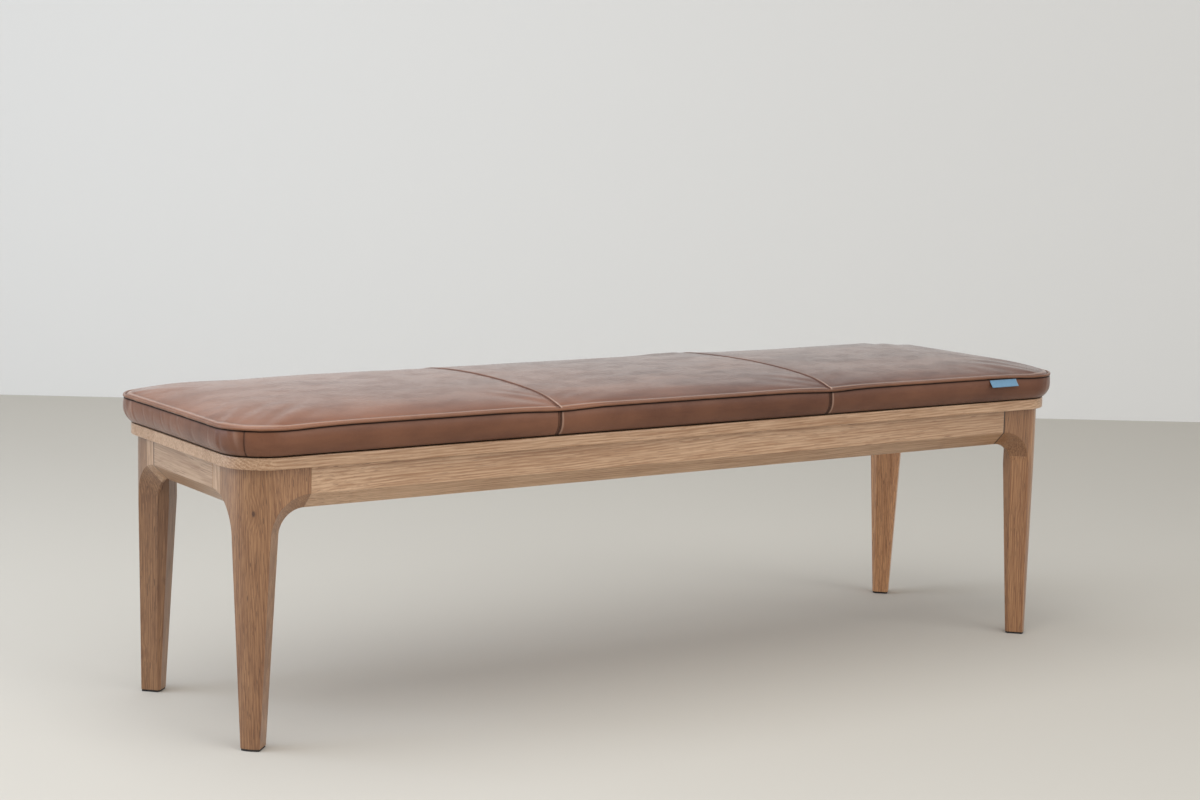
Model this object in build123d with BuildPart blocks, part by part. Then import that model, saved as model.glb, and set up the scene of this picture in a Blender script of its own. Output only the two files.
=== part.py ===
# Dining bench: an oak frame with tapered, coved legs and a loose seat pad in sewn leather.
# Millimetres. X runs along the bench, Y from the front (-Y) to the back, and Z is up.
# The origin is on the floor under the middle of the seat.
import os
from math import atan, cos, sin, sqrt, tan

from build123d import *

os.makedirs("parts", exist_ok=True)

# Seat board
board_length = 1600.0
board_depth = 456.0
board_thick = 18.0
board_corner = 67.0
board_under = 418.0
board_round = 1.5

# Rails, flush with the outer faces of the legs
overhang = 10.5
rail_height = 64.0
rail_thick = 28.0
bevel = 24.0
arris = 0.7

# Legs: a post with two glued ears, coved where it meets the rails
leg_width = 66.0
leg_cut = 23.0
cove_radius = 41.0
front_ear_width = 60.0
end_ear_width = 25.5
ear_seat_rise = 17.0
foot_width = 43.0
foot_bevel = 22.0
foot_cut = 15.0
foot_corner = 40.0
foot_lean = 6.5

# Glides: a thin plastic plate on a nail under each foot, cut to the foot's outline
glide_height = 3.5
glide_inset = 0.8
glide_bevel = 0.7
nail_radius = 1.5
nail_head_radius = 4.5
nail_head_thick = 1.2
nail_head_rise = 1.2
nail_depth = 20.0

# Corner brackets with two hanger bolts, washers and nuts at each leg
bracket_thick = 2.5
bracket_height = 46.0
bracket_wing = 34.0
bracket_gap = 8.0
bolt_radius = 4.0
bolt_edge = 11.0
bolt_depth = 38.0
bolt_spare = 4.0
washer_radius = 9.0
washer_thick = 1.6
nut_across = 13.0
nut_thick = 6.5

# Wood screws, and the pilot holes that they follow
screw_radius = 2.0
screw_head_radius = 4.0
screw_head_thick = 2.6
bracket_screw_length = 20.0
clip_screw_length = 14.0
batten_screw_length = 34.0
batten_screw_sink = 8.0
batten_screw_inset = 39.5

# Dowels in the rail joints and in the cross rails
dowel_radius = 4.0
dowel_length = 30.0
dowel_drop = 12.0
dowel_rise = 32.0
batten_dowel_edge = 12.5

# Cross rails under the board
batten_width = 45.0
batten_height = 30.0
batten_spacing = 533.0

# Clips that hold the board down and sit in slots, so that it can move with the seasons
clip_thick = 2.0
clip_width = 22.0
clip_tongue = 7.0
clip_tab = 22.0
clip_drop = 14.0
clip_spacing = 480.0
slot_spare = 2.0

# Fits
clearance = 0.1
overrun = 1.0

# Seat pad
skin = 1.2
pad_overhang = 12.0
band_height = 38.0
side_draw = 2.5
end_draw = 1.2
crown_rise = 23.0
crown_end_run = 159.0
crown_level_width = 116.0
piping_radius = 2.3
seam_place = 267.0
strip_thick = 1.0
strip_length = 220.0
strip_width = 25.0
strip_spacing_x = 520.0
strip_spacing_y = 320.0
soft_gap = 0.3
zip_length = 900.0
zip_width = 6.0
slider_length = 11.0
slider_width = 8.0
slider_thick = 1.4
pull_length = 16.0
pull_width = 4.0
pull_thick = 1.0
tab_width = 62.0
tab_drop = 12.0
tab_flare = 9.0
tab_thick = 0.9
tab_inset = 148.0

# How the pad's side swells from its lower edge up to the piping, as shares of its height and overhang
band_height_share = (0.0, 0.12, 0.36, 0.66, 1.0)
band_swell_share = (0.08, 0.46, 0.84, 1.0, 0.9)
# How the top rises from the piping to the middle, as shares of the run and of the rise
crown_run_share = (0.0, 0.045, 0.115, 0.256, 0.46, 0.756, 1.0)
crown_rise_share = (0.0, 0.1, 0.3, 0.56, 0.75, 0.91, 1.0)
# How round the top's outline gets towards the middle, as a share of its half depth
crown_corner_share = 0.8
# How high on the band the zip lies, where the band is fullest
zip_height_share = band_height_share[3]

# Heights, places and reaches that follow from the sizes above
board_top = board_under + board_thick
rail_bottom = board_under - rail_height
cove_floor = rail_bottom - cove_radius
leg_corner = board_corner - overhang
ear_reach = leg_width + cove_radius
corner_x = board_length / 2 - overhang
corner_y = board_depth / 2 - overhang
rail_half = corner_x - ear_reach
end_rail_half = corner_y - ear_reach
inner_y = corner_y - rail_thick
inner_x = corner_x - rail_thick
batten_x = batten_spacing / 2
batten_screw_y = inner_y - batten_screw_inset
tab_place = board_length / 2 - tab_inset
bolt_spacing = bracket_height - 2 * bolt_edge
dowel_spacing = rail_height - dowel_drop - dowel_rise
batten_dowel_spacing = batten_width - 2 * batten_dowel_edge
dowel_height = board_under - dowel_drop - dowel_spacing / 2
bracket_middle = board_under - rail_height / 2
corner_names = ("front_left", "front_right", "back_left", "back_right")


def arc_middle(radius):
    """How far the middle of a quarter round lies from both faces that it joins."""
    return radius * (1 - sqrt(1 / 2))


foot_middle = foot_lean + (arc_middle(foot_corner) + foot_width - foot_cut / 2) / 2


def leg_plane(height):
    """A level plane with its origin under the front left leg's outer corner."""
    return Plane(origin=(-corner_x, -corner_y, height))


def across_plane(reach):
    """An upright plane across the leg's diagonal, where x + y from the outer corner is reach."""
    step = reach / 2
    middle = (step - corner_x, step - corner_y, bracket_middle)
    return Plane(origin=middle, x_dir=(1, -1, 0), z_dir=(1, 1, 0))


diagonal = Plane(origin=(-corner_x, -corner_y, 0), z_dir=(1, -1, 0))


def all_corners(part):
    """A front left part and its mirror images, in the order of corner_names."""
    front = [part, mirror(part, about=Plane.YZ, mode=Mode.PRIVATE)]
    return front + [mirror(piece, about=Plane.XZ, mode=Mode.PRIVATE) for piece in front]


def leg_section(height, width, side_bevel, corner, cut, lean):
    """The leg's section: a round outer corner, two bevels and a cut inner corner."""
    run = width - side_bevel
    reach = 2 * corner - run
    depth = lean + (reach - sqrt(reach**2 - 2 * (corner - run) ** 2)) / 2
    middle = lean + arc_middle(corner)
    inner = lean + width
    near = (depth + run, depth)
    far = (depth, depth + run)
    with BuildSketch(leg_plane(height)) as section:
        with BuildLine():
            Polyline(
                near,
                (inner, lean + side_bevel),
                (inner, inner - cut),
                (inner - cut, inner),
                (lean + side_bevel, inner),
                far,
            )
            ThreePointArc(far, (middle, middle), near)
        make_face()
    return section.sketch


# The leg's column, from the foot to where the cove begins
foot_section = leg_section(glide_height, foot_width, foot_bevel, foot_corner, foot_cut, foot_lean)
cove_section = leg_section(cove_floor, leg_width, bevel, leg_corner, leg_cut, 0)
with BuildPart() as leg_column:
    loft([foot_section, cove_section], ruled=True)

# The leg's head, with an arm towards each rail and a bevelled cove under each arm
cove_profile = [
    (ear_reach, -overrun),
    (leg_width - bevel - overrun, -overrun),
    (leg_width, bevel),
    (leg_width, rail_thick),
    (ear_reach, rail_thick),
]
with BuildPart() as leg_head:
    with BuildSketch(leg_plane(cove_floor)):
        with BuildLine():
            head_middle = arc_middle(leg_corner)
            ThreePointArc((0, leg_corner), (head_middle, head_middle), (leg_corner, 0))
            Polyline(
                (leg_corner, 0),
                (ear_reach, 0),
                (ear_reach, rail_thick),
                (leg_width, rail_thick),
                (leg_width, leg_width - leg_cut),
                (leg_width - leg_cut, leg_width),
                (rail_thick, leg_width),
                (rail_thick, ear_reach),
                (0, ear_reach),
                (0, leg_corner),
            )
        make_face()
    extrude(amount=board_under - cove_floor)
    with BuildSketch(leg_plane(cove_floor)):
        with BuildLine():
            Polyline(*cove_profile, close=True)
        make_face()
    revolve(axis=Axis((ear_reach - corner_x, -corner_y, cove_floor), (0, 1, 0)), mode=Mode.SUBTRACT)
    with BuildSketch(leg_plane(cove_floor)):
        with BuildLine():
            Polyline(*[(y, x) for x, y in cove_profile], close=True)
        make_face()
    revolve(axis=Axis((-corner_x, ear_reach - corner_y, cove_floor), (1, 0, 0)), mode=Mode.SUBTRACT)

# Where the front ear is let into the post, and where the end ear is glued on
with BuildPart() as front_ear_zone:
    with BuildSketch(leg_plane(cove_floor + ear_seat_rise)):
        with Locations((ear_reach, 0)):
            Rectangle(front_ear_width, rail_thick, align=(Align.MAX, Align.MIN))
    extrude(amount=board_under - cove_floor - ear_seat_rise)
with BuildPart() as end_ear_zone:
    with BuildSketch(leg_plane(cove_floor)):
        with Locations((0, ear_reach)):
            Rectangle(rail_thick, end_ear_width, align=(Align.MIN, Align.MAX))
    extrude(amount=board_under - cove_floor)

# Dowels between an ear and its rail, centred in the rail's thickness
dowel_in = rail_thick / 2
with BuildPart() as corner_dowels:
    with BuildSketch(Plane.YZ.offset(ear_reach - corner_x - dowel_length / 2)):
        with Locations((dowel_in - corner_y, dowel_height)):
            with GridLocations(0, dowel_spacing, 1, 2):
                Circle(dowel_radius)
    extrude(amount=dowel_length)
    mirror(about=diagonal)
with BuildPart() as dowel_holes:
    with BuildSketch(Plane.YZ.offset(ear_reach - corner_x - dowel_length / 2 - clearance)):
        with Locations((dowel_in - corner_y, dowel_height)):
            with GridLocations(0, dowel_spacing, 1, 2):
                Circle(dowel_radius + clearance)
    extrude(amount=dowel_length + 2 * clearance)
    mirror(about=diagonal)

# Hanger bolts run from the post's inner cut through the bracket to the nut
leg_back = 2 * leg_width - leg_cut
plate_front = ear_reach + bracket_gap + rail_thick
plate_back = plate_front + bracket_thick * sqrt(2)
stack = bracket_thick + washer_thick + nut_thick + bolt_spare
bolt_free = (plate_front - leg_back) / sqrt(2) + stack
with BuildPart() as corner_bolts:
    with BuildSketch(across_plane(leg_back)):
        with GridLocations(0, bolt_spacing, 1, 2):
            Circle(bolt_radius)
    extrude(amount=bolt_free)
    with BuildSketch(across_plane(leg_back)):
        with GridLocations(0, bolt_spacing, 1, 2):
            Circle(bolt_radius)
    extrude(amount=-bolt_depth)
    chamfer(corner_bolts.edges().sort_by(Axis((0, 0, 0), (1, 1, 0)))[:2], length=bolt_radius / 2)
with BuildPart() as bolt_holes:
    with BuildSketch(across_plane(leg_back)):
        with GridLocations(0, bolt_spacing, 1, 2):
            Circle(bolt_radius + clearance)
    extrude(amount=-bolt_depth - clearance)

# Nail of a glide, driven up into the foot
with BuildPart() as glide_nail:
    with BuildSketch(leg_plane(nail_head_rise)):
        with Locations((foot_middle, foot_middle)):
            Circle(nail_head_radius)
    extrude(amount=nail_head_thick)
    with BuildSketch(leg_plane(nail_head_rise)):
        with Locations((foot_middle, foot_middle)):
            Circle(nail_radius)
    extrude(amount=glide_height + nail_depth - nail_head_rise)
with BuildPart() as nail_hole:
    with BuildSketch(leg_plane(nail_head_rise)):
        with Locations((foot_middle, foot_middle)):
            Circle(nail_head_radius + clearance)
    extrude(amount=nail_head_thick)
    with BuildSketch(leg_plane(nail_head_rise)):
        with Locations((foot_middle, foot_middle)):
            Circle(nail_radius + clearance)
    extrude(amount=glide_height + nail_depth + clearance - nail_head_rise)

# Legs: the whole outline is shaped once and parted into a post and its two ears
with BuildPart() as leg_post:
    add(leg_column.part)
    add(leg_head.part)
    add([front_ear_zone.part, end_ear_zone.part], mode=Mode.SUBTRACT)
    add([bolt_holes.part, nail_hole.part], mode=Mode.SUBTRACT)
with BuildPart() as front_ear:
    add(leg_head.part)
    add(front_ear_zone.part, mode=Mode.INTERSECT)
    add(dowel_holes.part, mode=Mode.SUBTRACT)
    joint_edges = front_ear.edges().group_by(Axis.X)[-1].filter_by(Axis.Y, reverse=True)
    chamfer(joint_edges.sort_by(Axis.Y)[:2], length=arris)
with BuildPart() as end_ear:
    add(leg_head.part)
    add(end_ear_zone.part, mode=Mode.INTERSECT)
    add(dowel_holes.part, mode=Mode.SUBTRACT)
    joint_edges = end_ear.edges().group_by(Axis.Y)[-1].filter_by(Axis.X, reverse=True)
    chamfer(joint_edges.sort_by(Axis.X)[:2], length=arris)
leg_pieces = (all_corners(leg_post.part), all_corners(front_ear.part), all_corners(end_ear.part))
for corner, post, side_ear, short_ear in zip(corner_names, *leg_pieces):
    with BuildPart() as leg:
        add(post)
    leg.part.label = f"{corner}_leg"
    export_step(leg.part, f"parts/{corner}_leg.step")
    with BuildPart() as long_side_ear:
        add(side_ear)
    long_side_ear.part.label = f"{corner}_side_ear"
    export_step(long_side_ear.part, f"parts/{corner}_side_ear.step")
    with BuildPart() as short_side_ear:
        add(short_ear)
    short_side_ear.part.label = f"{corner}_end_ear"
    export_step(short_side_ear.part, f"parts/{corner}_end_ear.step")

# Glides, one under each foot, and their nails
foot_outline = leg_section(0, foot_width, foot_bevel, foot_corner, foot_cut, foot_lean)
with BuildPart() as glide:
    extrude(offset(foot_outline, amount=-glide_inset, mode=Mode.PRIVATE), amount=glide_height)
    chamfer(glide.edges().group_by(Axis.Z)[0], length=glide_bevel)
    add(nail_hole.part, mode=Mode.SUBTRACT)
for corner, plate in zip(corner_names, all_corners(glide.part)):
    with BuildPart() as foot_glide:
        add(plate)
    foot_glide.part.label = f"{corner}_glide"
    export_step(foot_glide.part, f"parts/{corner}_glide.step")
with BuildPart() as glide_nails:
    add(all_corners(glide_nail.part))
glide_nails.part.label = "glide_nails"
export_step(glide_nails.part, "parts/glide_nails.step")

# Corner brackets: a plate across the corner with a wing on each rail's inner face
wing_end = ear_reach + bracket_gap + bracket_wing
wing_bend = ear_reach + bracket_gap
wing_inside = rail_thick + bracket_thick
with BuildPart() as wing_screw_holes:
    with BuildSketch(Plane.XZ.offset(inner_y)):
        with Locations((wing_bend + bracket_wing / 2 - corner_x, bracket_middle)):
            with GridLocations(0, bolt_spacing, 1, 2):
                Circle(screw_radius + clearance)
    extrude(amount=bracket_screw_length - bracket_thick + clearance)
    mirror(about=diagonal)
with BuildPart() as bracket:
    with BuildSketch(leg_plane(bracket_middle - bracket_height / 2)):
        with BuildLine():
            Polyline(
                (plate_front / 2, plate_front / 2),
                (wing_bend, rail_thick),
                (wing_end, rail_thick),
                (wing_end, wing_inside),
                (plate_back - wing_inside, wing_inside),
                (plate_back / 2, plate_back / 2),
                close=True,
            )
        make_face()
    extrude(amount=bracket_height)
    with BuildSketch(Plane.XZ.offset(inner_y)):
        with Locations((wing_bend + bracket_wing / 2 - corner_x, bracket_middle)):
            with GridLocations(0, bolt_spacing, 1, 2):
                Circle(screw_radius + clearance)
    extrude(amount=-bracket_thick, mode=Mode.SUBTRACT)
    mirror(about=diagonal)
    with BuildSketch(across_plane(plate_front)):
        with GridLocations(0, bolt_spacing, 1, 2):
            Circle(bolt_radius + clearance)
    extrude(amount=bracket_thick, mode=Mode.SUBTRACT)
for corner, plate in zip(corner_names, all_corners(bracket.part)):
    with BuildPart() as corner_bracket:
        add(plate)
    corner_bracket.part.label = f"{corner}_bracket"
    export_step(corner_bracket.part, f"parts/{corner}_bracket.step")

with BuildPart() as hanger_bolts:
    add(all_corners(corner_bolts.part))
hanger_bolts.part.label = "hanger_bolts"
export_step(hanger_bolts.part, "parts/hanger_bolts.step")

with BuildPart() as corner_washers:
    with BuildSketch(across_plane(plate_back)):
        with GridLocations(0, bolt_spacing, 1, 2):
            Circle(washer_radius)
            Circle(bolt_radius + clearance, mode=Mode.SUBTRACT)
    extrude(amount=washer_thick)
with BuildPart() as washers:
    add(all_corners(corner_washers.part))
washers.part.label = "washers"
export_step(washers.part, "parts/washers.step")

with BuildPart() as corner_nuts:
    with BuildSketch(across_plane(plate_back + washer_thick * sqrt(2))):
        with GridLocations(0, bolt_spacing, 1, 2):
            RegularPolygon(nut_across / 2, 6, major_radius=False)
            Circle(bolt_radius + clearance, mode=Mode.SUBTRACT)
    extrude(amount=nut_thick)
with BuildPart() as nuts:
    add(all_corners(corner_nuts.part))
nuts.part.label = "nuts"
export_step(nuts.part, "parts/nuts.step")

with BuildPart() as corner_screws:
    with BuildSketch(Plane.XZ.offset(inner_y - bracket_thick)):
        with Locations((wing_bend + bracket_wing / 2 - corner_x, bracket_middle)):
            with GridLocations(0, bolt_spacing, 1, 2):
                Circle(screw_radius)
    extrude(amount=bracket_screw_length)
    with BuildSketch(Plane.XZ.offset(inner_y - bracket_thick)):
        with Locations((wing_bend + bracket_wing / 2 - corner_x, bracket_middle)):
            with GridLocations(0, bolt_spacing, 1, 2):
                Circle(screw_head_radius)
    extrude(amount=-screw_head_thick)
    mirror(about=diagonal)
with BuildPart() as bracket_screws:
    add(all_corners(corner_screws.part))
bracket_screws.part.label = "bracket_screws"
export_step(bracket_screws.part, "parts/bracket_screws.step")

with BuildPart() as rail_dowels:
    add(all_corners(corner_dowels.part))
rail_dowels.part.label = "rail_dowels"
export_step(rail_dowels.part, "parts/rail_dowels.step")

# Seat board, drilled from below for the screws of the cross rails and the clips
pilot_depth = batten_screw_sink + batten_screw_length - batten_height + clearance
clip_screw_in = clearance + (clip_tab + clip_thick) / 2
clip_screw_y = inner_y - clip_screw_in
clip_screw_x = inner_x - clip_screw_in
with BuildPart() as seat_board:
    with BuildSketch(Plane.XY.offset(board_under)):
        RectangleRounded(board_length, board_depth, board_corner)
    extrude(amount=board_thick)
    fillet(seat_board.faces().filter_by(Axis.Z).edges(), radius=board_round)
    with BuildSketch(Plane.XY.offset(board_under)):
        with GridLocations(batten_spacing, batten_screw_y, 2, 3):
            Circle(screw_radius + clearance)
    extrude(amount=pilot_depth, mode=Mode.SUBTRACT)
    with BuildSketch(Plane.XY.offset(board_under)):
        with GridLocations(clip_spacing, 2 * clip_screw_y, 3, 2):
            Circle(screw_radius + clearance)
        with GridLocations(2 * clip_screw_x, 0, 2, 1):
            Circle(screw_radius + clearance)
    extrude(amount=clip_screw_length - clip_thick + clearance, mode=Mode.SUBTRACT)
seat_board.part.label = "seat_board"
export_step(seat_board.part, "parts/seat_board.step")


def rail_profile(plane, inner):
    """A rail's section at the front or the left, with its outer lower edge bevelled."""
    outer = inner + rail_thick
    with BuildSketch(plane) as profile:
        with BuildLine():
            Polyline(
                (-outer, board_under),
                (-outer, rail_bottom + bevel),
                (bevel - outer, rail_bottom),
                (-inner, rail_bottom),
                (-inner, board_under),
                close=True,
            )
        make_face()
    return profile.sketch


# Long rails: slots for the clips, and holes for the dowels and for the brackets' screws
batten_dowel_height = board_under - batten_height / 2
slot_top = board_under - clip_drop
with BuildPart() as long_rail:
    extrude(rail_profile(Plane.YZ, inner_y), amount=rail_half, both=True)
    for way in (Axis.X, -Axis.X):
        end_edges = long_rail.faces().sort_by(way)[-1].edges()
        chamfer(end_edges.filter_by(Axis.Z).sort_by(Axis.Y)[0], length=arris)
    with BuildSketch(Plane.XZ.offset(inner_y)):
        with Locations((0, slot_top)):
            with GridLocations(clip_spacing, 0, 3, 1):
                Rectangle(
                    clip_width + 2 * slot_spare,
                    clip_thick + slot_spare,
                    align=(Align.CENTER, Align.MAX),
                )
    extrude(amount=clip_tongue + clearance, mode=Mode.SUBTRACT)
    with BuildSketch(Plane.XZ.offset(inner_y)):
        with Locations((0, batten_dowel_height)):
            with GridLocations(batten_spacing, 0, 2, 1):
                with GridLocations(batten_dowel_spacing, 0, 2, 1):
                    Circle(dowel_radius + clearance)
    extrude(amount=dowel_length / 2 + clearance, mode=Mode.SUBTRACT)
    add(all_corners(dowel_holes.part)[:2], mode=Mode.SUBTRACT)
    add(all_corners(wing_screw_holes.part)[:2], mode=Mode.SUBTRACT)
with BuildPart() as front_rail:
    add(long_rail.part)
front_rail.part.label = "front_rail"
export_step(front_rail.part, "parts/front_rail.step")
with BuildPart() as back_rail:
    mirror(long_rail.part, about=Plane.XZ)
back_rail.part.label = "back_rail"
export_step(back_rail.part, "parts/back_rail.step")

# End rails, made the same way
with BuildPart() as left_end_rail:
    extrude(rail_profile(Plane.XZ, inner_x), amount=end_rail_half, both=True)
    for way in (Axis.Y, -Axis.Y):
        end_edges = left_end_rail.faces().sort_by(way)[-1].edges()
        chamfer(end_edges.filter_by(Axis.Z).sort_by(Axis.X)[0], length=arris)
    with BuildSketch(Plane.YZ.offset(-inner_x)):
        with Locations((0, slot_top)):
            Rectangle(
                clip_width + 2 * slot_spare,
                clip_thick + slot_spare,
                align=(Align.CENTER, Align.MAX),
            )
    extrude(amount=-clip_tongue - clearance, mode=Mode.SUBTRACT)
    add(all_corners(dowel_holes.part)[::2], mode=Mode.SUBTRACT)
    add(all_corners(wing_screw_holes.part)[::2], mode=Mode.SUBTRACT)
left_end_rail.part.label = "left_end_rail"
export_step(left_end_rail.part, "parts/left_end_rail.step")
with BuildPart() as right_end_rail:
    mirror(left_end_rail.part, about=Plane.YZ)
right_end_rail.part.label = "right_end_rail"
export_step(right_end_rail.part, "parts/right_end_rail.step")

# Cross rails between the long rails, dowelled at both ends and screwed up into the board
with BuildPart() as cross_rail:
    with BuildSketch(Plane.XZ.offset(-inner_y)):
        with Locations((-batten_x, board_under)):
            Rectangle(batten_width, batten_height, align=(Align.CENTER, Align.MAX))
    extrude(amount=2 * inner_y)
    for way in (-1, 1):
        with BuildSketch(Plane.XZ.offset(way * inner_y)):
            with Locations((-batten_x, batten_dowel_height)):
                with GridLocations(batten_dowel_spacing, 0, 2, 1):
                    Circle(dowel_radius + clearance)
        extrude(amount=-way * (dowel_length / 2 + clearance), mode=Mode.SUBTRACT)
    with BuildSketch(Plane.XY.offset(board_under)):
        with Locations((-batten_x, 0)):
            with GridLocations(0, batten_screw_y, 1, 3):
                Circle(screw_radius + clearance)
    extrude(amount=-batten_height, mode=Mode.SUBTRACT)
    with BuildSketch(Plane.XY.offset(board_under - batten_height)):
        with Locations((-batten_x, 0)):
            with GridLocations(0, batten_screw_y, 1, 3):
                Circle(screw_head_radius + clearance)
    extrude(amount=batten_screw_sink, mode=Mode.SUBTRACT)
with BuildPart() as left_cross_rail:
    add(cross_rail.part)
left_cross_rail.part.label = "left_cross_rail"
export_step(left_cross_rail.part, "parts/left_cross_rail.step")
with BuildPart() as right_cross_rail:
    mirror(cross_rail.part, about=Plane.YZ)
right_cross_rail.part.label = "right_cross_rail"
export_step(right_cross_rail.part, "parts/right_cross_rail.step")

with BuildPart() as cross_rail_dowels:
    for way in (-1, 1):
        with BuildSketch(Plane.XZ.offset(way * (inner_y - dowel_length / 2))):
            with Locations((0, batten_dowel_height)):
                with GridLocations(batten_spacing, 0, 2, 1):
                    with GridLocations(batten_dowel_spacing, 0, 2, 1):
                        Circle(dowel_radius)
        extrude(amount=way * dowel_length)
cross_rail_dowels.part.label = "cross_rail_dowels"
export_step(cross_rail_dowels.part, "parts/cross_rail_dowels.step")

with BuildPart() as cross_rail_screws:
    with BuildSketch(Plane.XY.offset(board_under - batten_height + batten_screw_sink)):
        with GridLocations(batten_spacing, batten_screw_y, 2, 3):
            Circle(screw_radius)
    extrude(amount=batten_screw_length)
    with BuildSketch(Plane.XY.offset(board_under - batten_height + batten_screw_sink)):
        with GridLocations(batten_spacing, batten_screw_y, 2, 3):
            Circle(screw_head_radius)
    extrude(amount=-screw_head_thick)
cross_rail_screws.part.label = "cross_rail_screws"
export_step(cross_rail_screws.part, "parts/cross_rail_screws.step")


def clip_profile(plane, inner):
    """A clip's section: a tongue in the rail's slot, a web and a tab under the board."""
    web = -inner + clearance
    with BuildSketch(plane) as profile:
        with BuildLine():
            Polyline(
                (-inner - clip_tongue, slot_top),
                (web, slot_top),
                (web, board_under),
                (web + clip_tab, board_under),
                (web + clip_tab, board_under - clip_thick),
                (web + clip_thick, board_under - clip_thick),
                (web + clip_thick, slot_top - clip_thick),
                (-inner - clip_tongue, slot_top - clip_thick),
                close=True,
            )
        make_face()
    return profile.sketch


# Clips: three on each long rail and one on each end rail
with BuildPart() as front_clip:
    extrude(clip_profile(Plane.YZ, inner_y), amount=clip_width / 2, both=True)
    with BuildSketch(Plane.XY.offset(board_under)):
        with Locations((0, -clip_screw_y)):
            Circle(screw_radius + clearance)
    extrude(amount=-clip_thick, mode=Mode.SUBTRACT)
with BuildPart() as end_clip:
    extrude(clip_profile(Plane.XZ, inner_x), amount=clip_width / 2, both=True)
    with BuildSketch(Plane.XY.offset(board_under)):
        with Locations((-clip_screw_x, 0)):
            Circle(screw_radius + clearance)
    extrude(amount=-clip_thick, mode=Mode.SUBTRACT)
back_clip = mirror(front_clip.part, about=Plane.XZ)
with BuildPart() as board_clips:
    with GridLocations(clip_spacing, 0, 3, 1):
        add([front_clip.part, back_clip])
    add(end_clip.part)
    mirror(end_clip.part, about=Plane.YZ)
board_clips.part.label = "board_clips"
export_step(board_clips.part, "parts/board_clips.step")

with BuildPart() as clip_screws:
    for radius, amount in ((screw_radius, clip_screw_length), (screw_head_radius, -screw_head_thick)):
        with BuildSketch(Plane.XY.offset(board_under - clip_thick)):
            with GridLocations(clip_spacing, 2 * clip_screw_y, 3, 2):
                Circle(radius)
            with GridLocations(2 * clip_screw_x, 0, 2, 1):
                Circle(radius)
        extrude(amount=amount)
clip_screws.part.label = "clip_screws"
export_step(clip_screws.part, "parts/clip_screws.step")

# Hook strips stuck on the board and loop strips sewn under the pad keep the pad from sliding
pad_bottom = board_top + 2 * strip_thick + soft_gap
with BuildPart() as hook_strips:
    with BuildSketch(Plane.XY.offset(board_top)):
        with GridLocations(strip_spacing_x, strip_spacing_y, 2, 2):
            Rectangle(strip_length, strip_width)
    extrude(amount=strip_thick)
hook_strips.part.label = "hook_strips"
export_step(hook_strips.part, "parts/hook_strips.step")
with BuildPart() as loop_strips:
    with BuildSketch(Plane.XY.offset(pad_bottom - strip_thick)):
        with GridLocations(strip_spacing_x, strip_spacing_y, 2, 2):
            Rectangle(strip_length, strip_width)
    extrude(amount=strip_thick)
loop_strips.part.label = "loop_strips"
export_step(loop_strips.part, "parts/loop_strips.step")


def pad_outline(height, half_x, half_y, corner):
    """The pad's outline, with its sides drawn in a little between its rounded corners."""
    side = half_x - corner
    end = half_y - corner
    middle_x = half_x - arc_middle(corner)
    middle_y = half_y - arc_middle(corner)
    side_turn = 2 * atan(side_draw / side)
    end_turn = 2 * atan(end_draw / end)
    side_x = side - corner * sin(side_turn)
    side_y = end + corner * cos(side_turn)
    end_x = side + corner * cos(end_turn)
    end_y = end - corner * sin(end_turn)
    draw_y = side_y - side_x * tan(side_turn / 2)
    draw_x = end_x - end_y * tan(end_turn / 2)
    with BuildSketch(Plane.XY.offset(height)) as outline:
        with BuildLine():
            for turn in (1, -1):
                front = (side_x * turn, -side_y * turn)
                right = (end_x * turn, -end_y * turn)
                far = (end_x * turn, end_y * turn)
                ThreePointArc((-side_x * turn, -side_y * turn), (0, -draw_y * turn), front)
                ThreePointArc(front, (middle_x * turn, -middle_y * turn), right)
                ThreePointArc(right, (draw_x * turn, 0), far)
                ThreePointArc(far, (middle_x * turn, middle_y * turn), (side_x * turn, side_y * turn))
        make_face()
    return outline.sketch


def grown_outline(height, grow):
    """The pad's outline where it stands past the board by the same amount all round."""
    return pad_outline(height, board_length / 2 + grow, board_depth / 2 + grow, board_corner + grow)


def band_solid(inset):
    """The pad below its piping, swelling from its lower edge, less an inset all round."""
    outlines = []
    for height_share, swell_share in zip(band_height_share, band_swell_share):
        height = pad_bottom + band_height * height_share
        outlines.append(grown_outline(height, pad_overhang * swell_share - inset))
    return loft(outlines)


def crown_solid(inset):
    """The pad above its piping, rising fast near its rim and slowly towards its level middle."""
    outlines = []
    rim_corner = board_corner + rim_grow - inset
    for run_share, rise_share in zip(crown_run_share, crown_rise_share):
        height = piping_top + (crown_rise - inset) * rise_share
        half_x = board_length / 2 + rim_grow - inset - crown_end_run * run_share
        half_y = board_depth / 2 + rim_grow - inset - crown_run * run_share
        rounder = (half_y * crown_corner_share - rim_corner) * run_share
        outlines.append(pad_outline(height, half_x, half_y, rim_corner + rounder))
    return loft(outlines)


# Pad covers: a top over the piping and a band under it, each one skin thick
band_top = pad_bottom + band_height
piping_top = band_top + 2 * piping_radius
rim_grow = pad_overhang * band_swell_share[-1]
crown_run = (board_depth - crown_level_width) / 2 + rim_grow
foam_inset = skin + soft_gap
with BuildPart() as top_skin:
    add(crown_solid(0))
    add(crown_solid(skin), mode=Mode.SUBTRACT)
with BuildPart() as band_skin:
    add(band_solid(0))
    add(band_solid(skin), mode=Mode.SUBTRACT)

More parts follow.
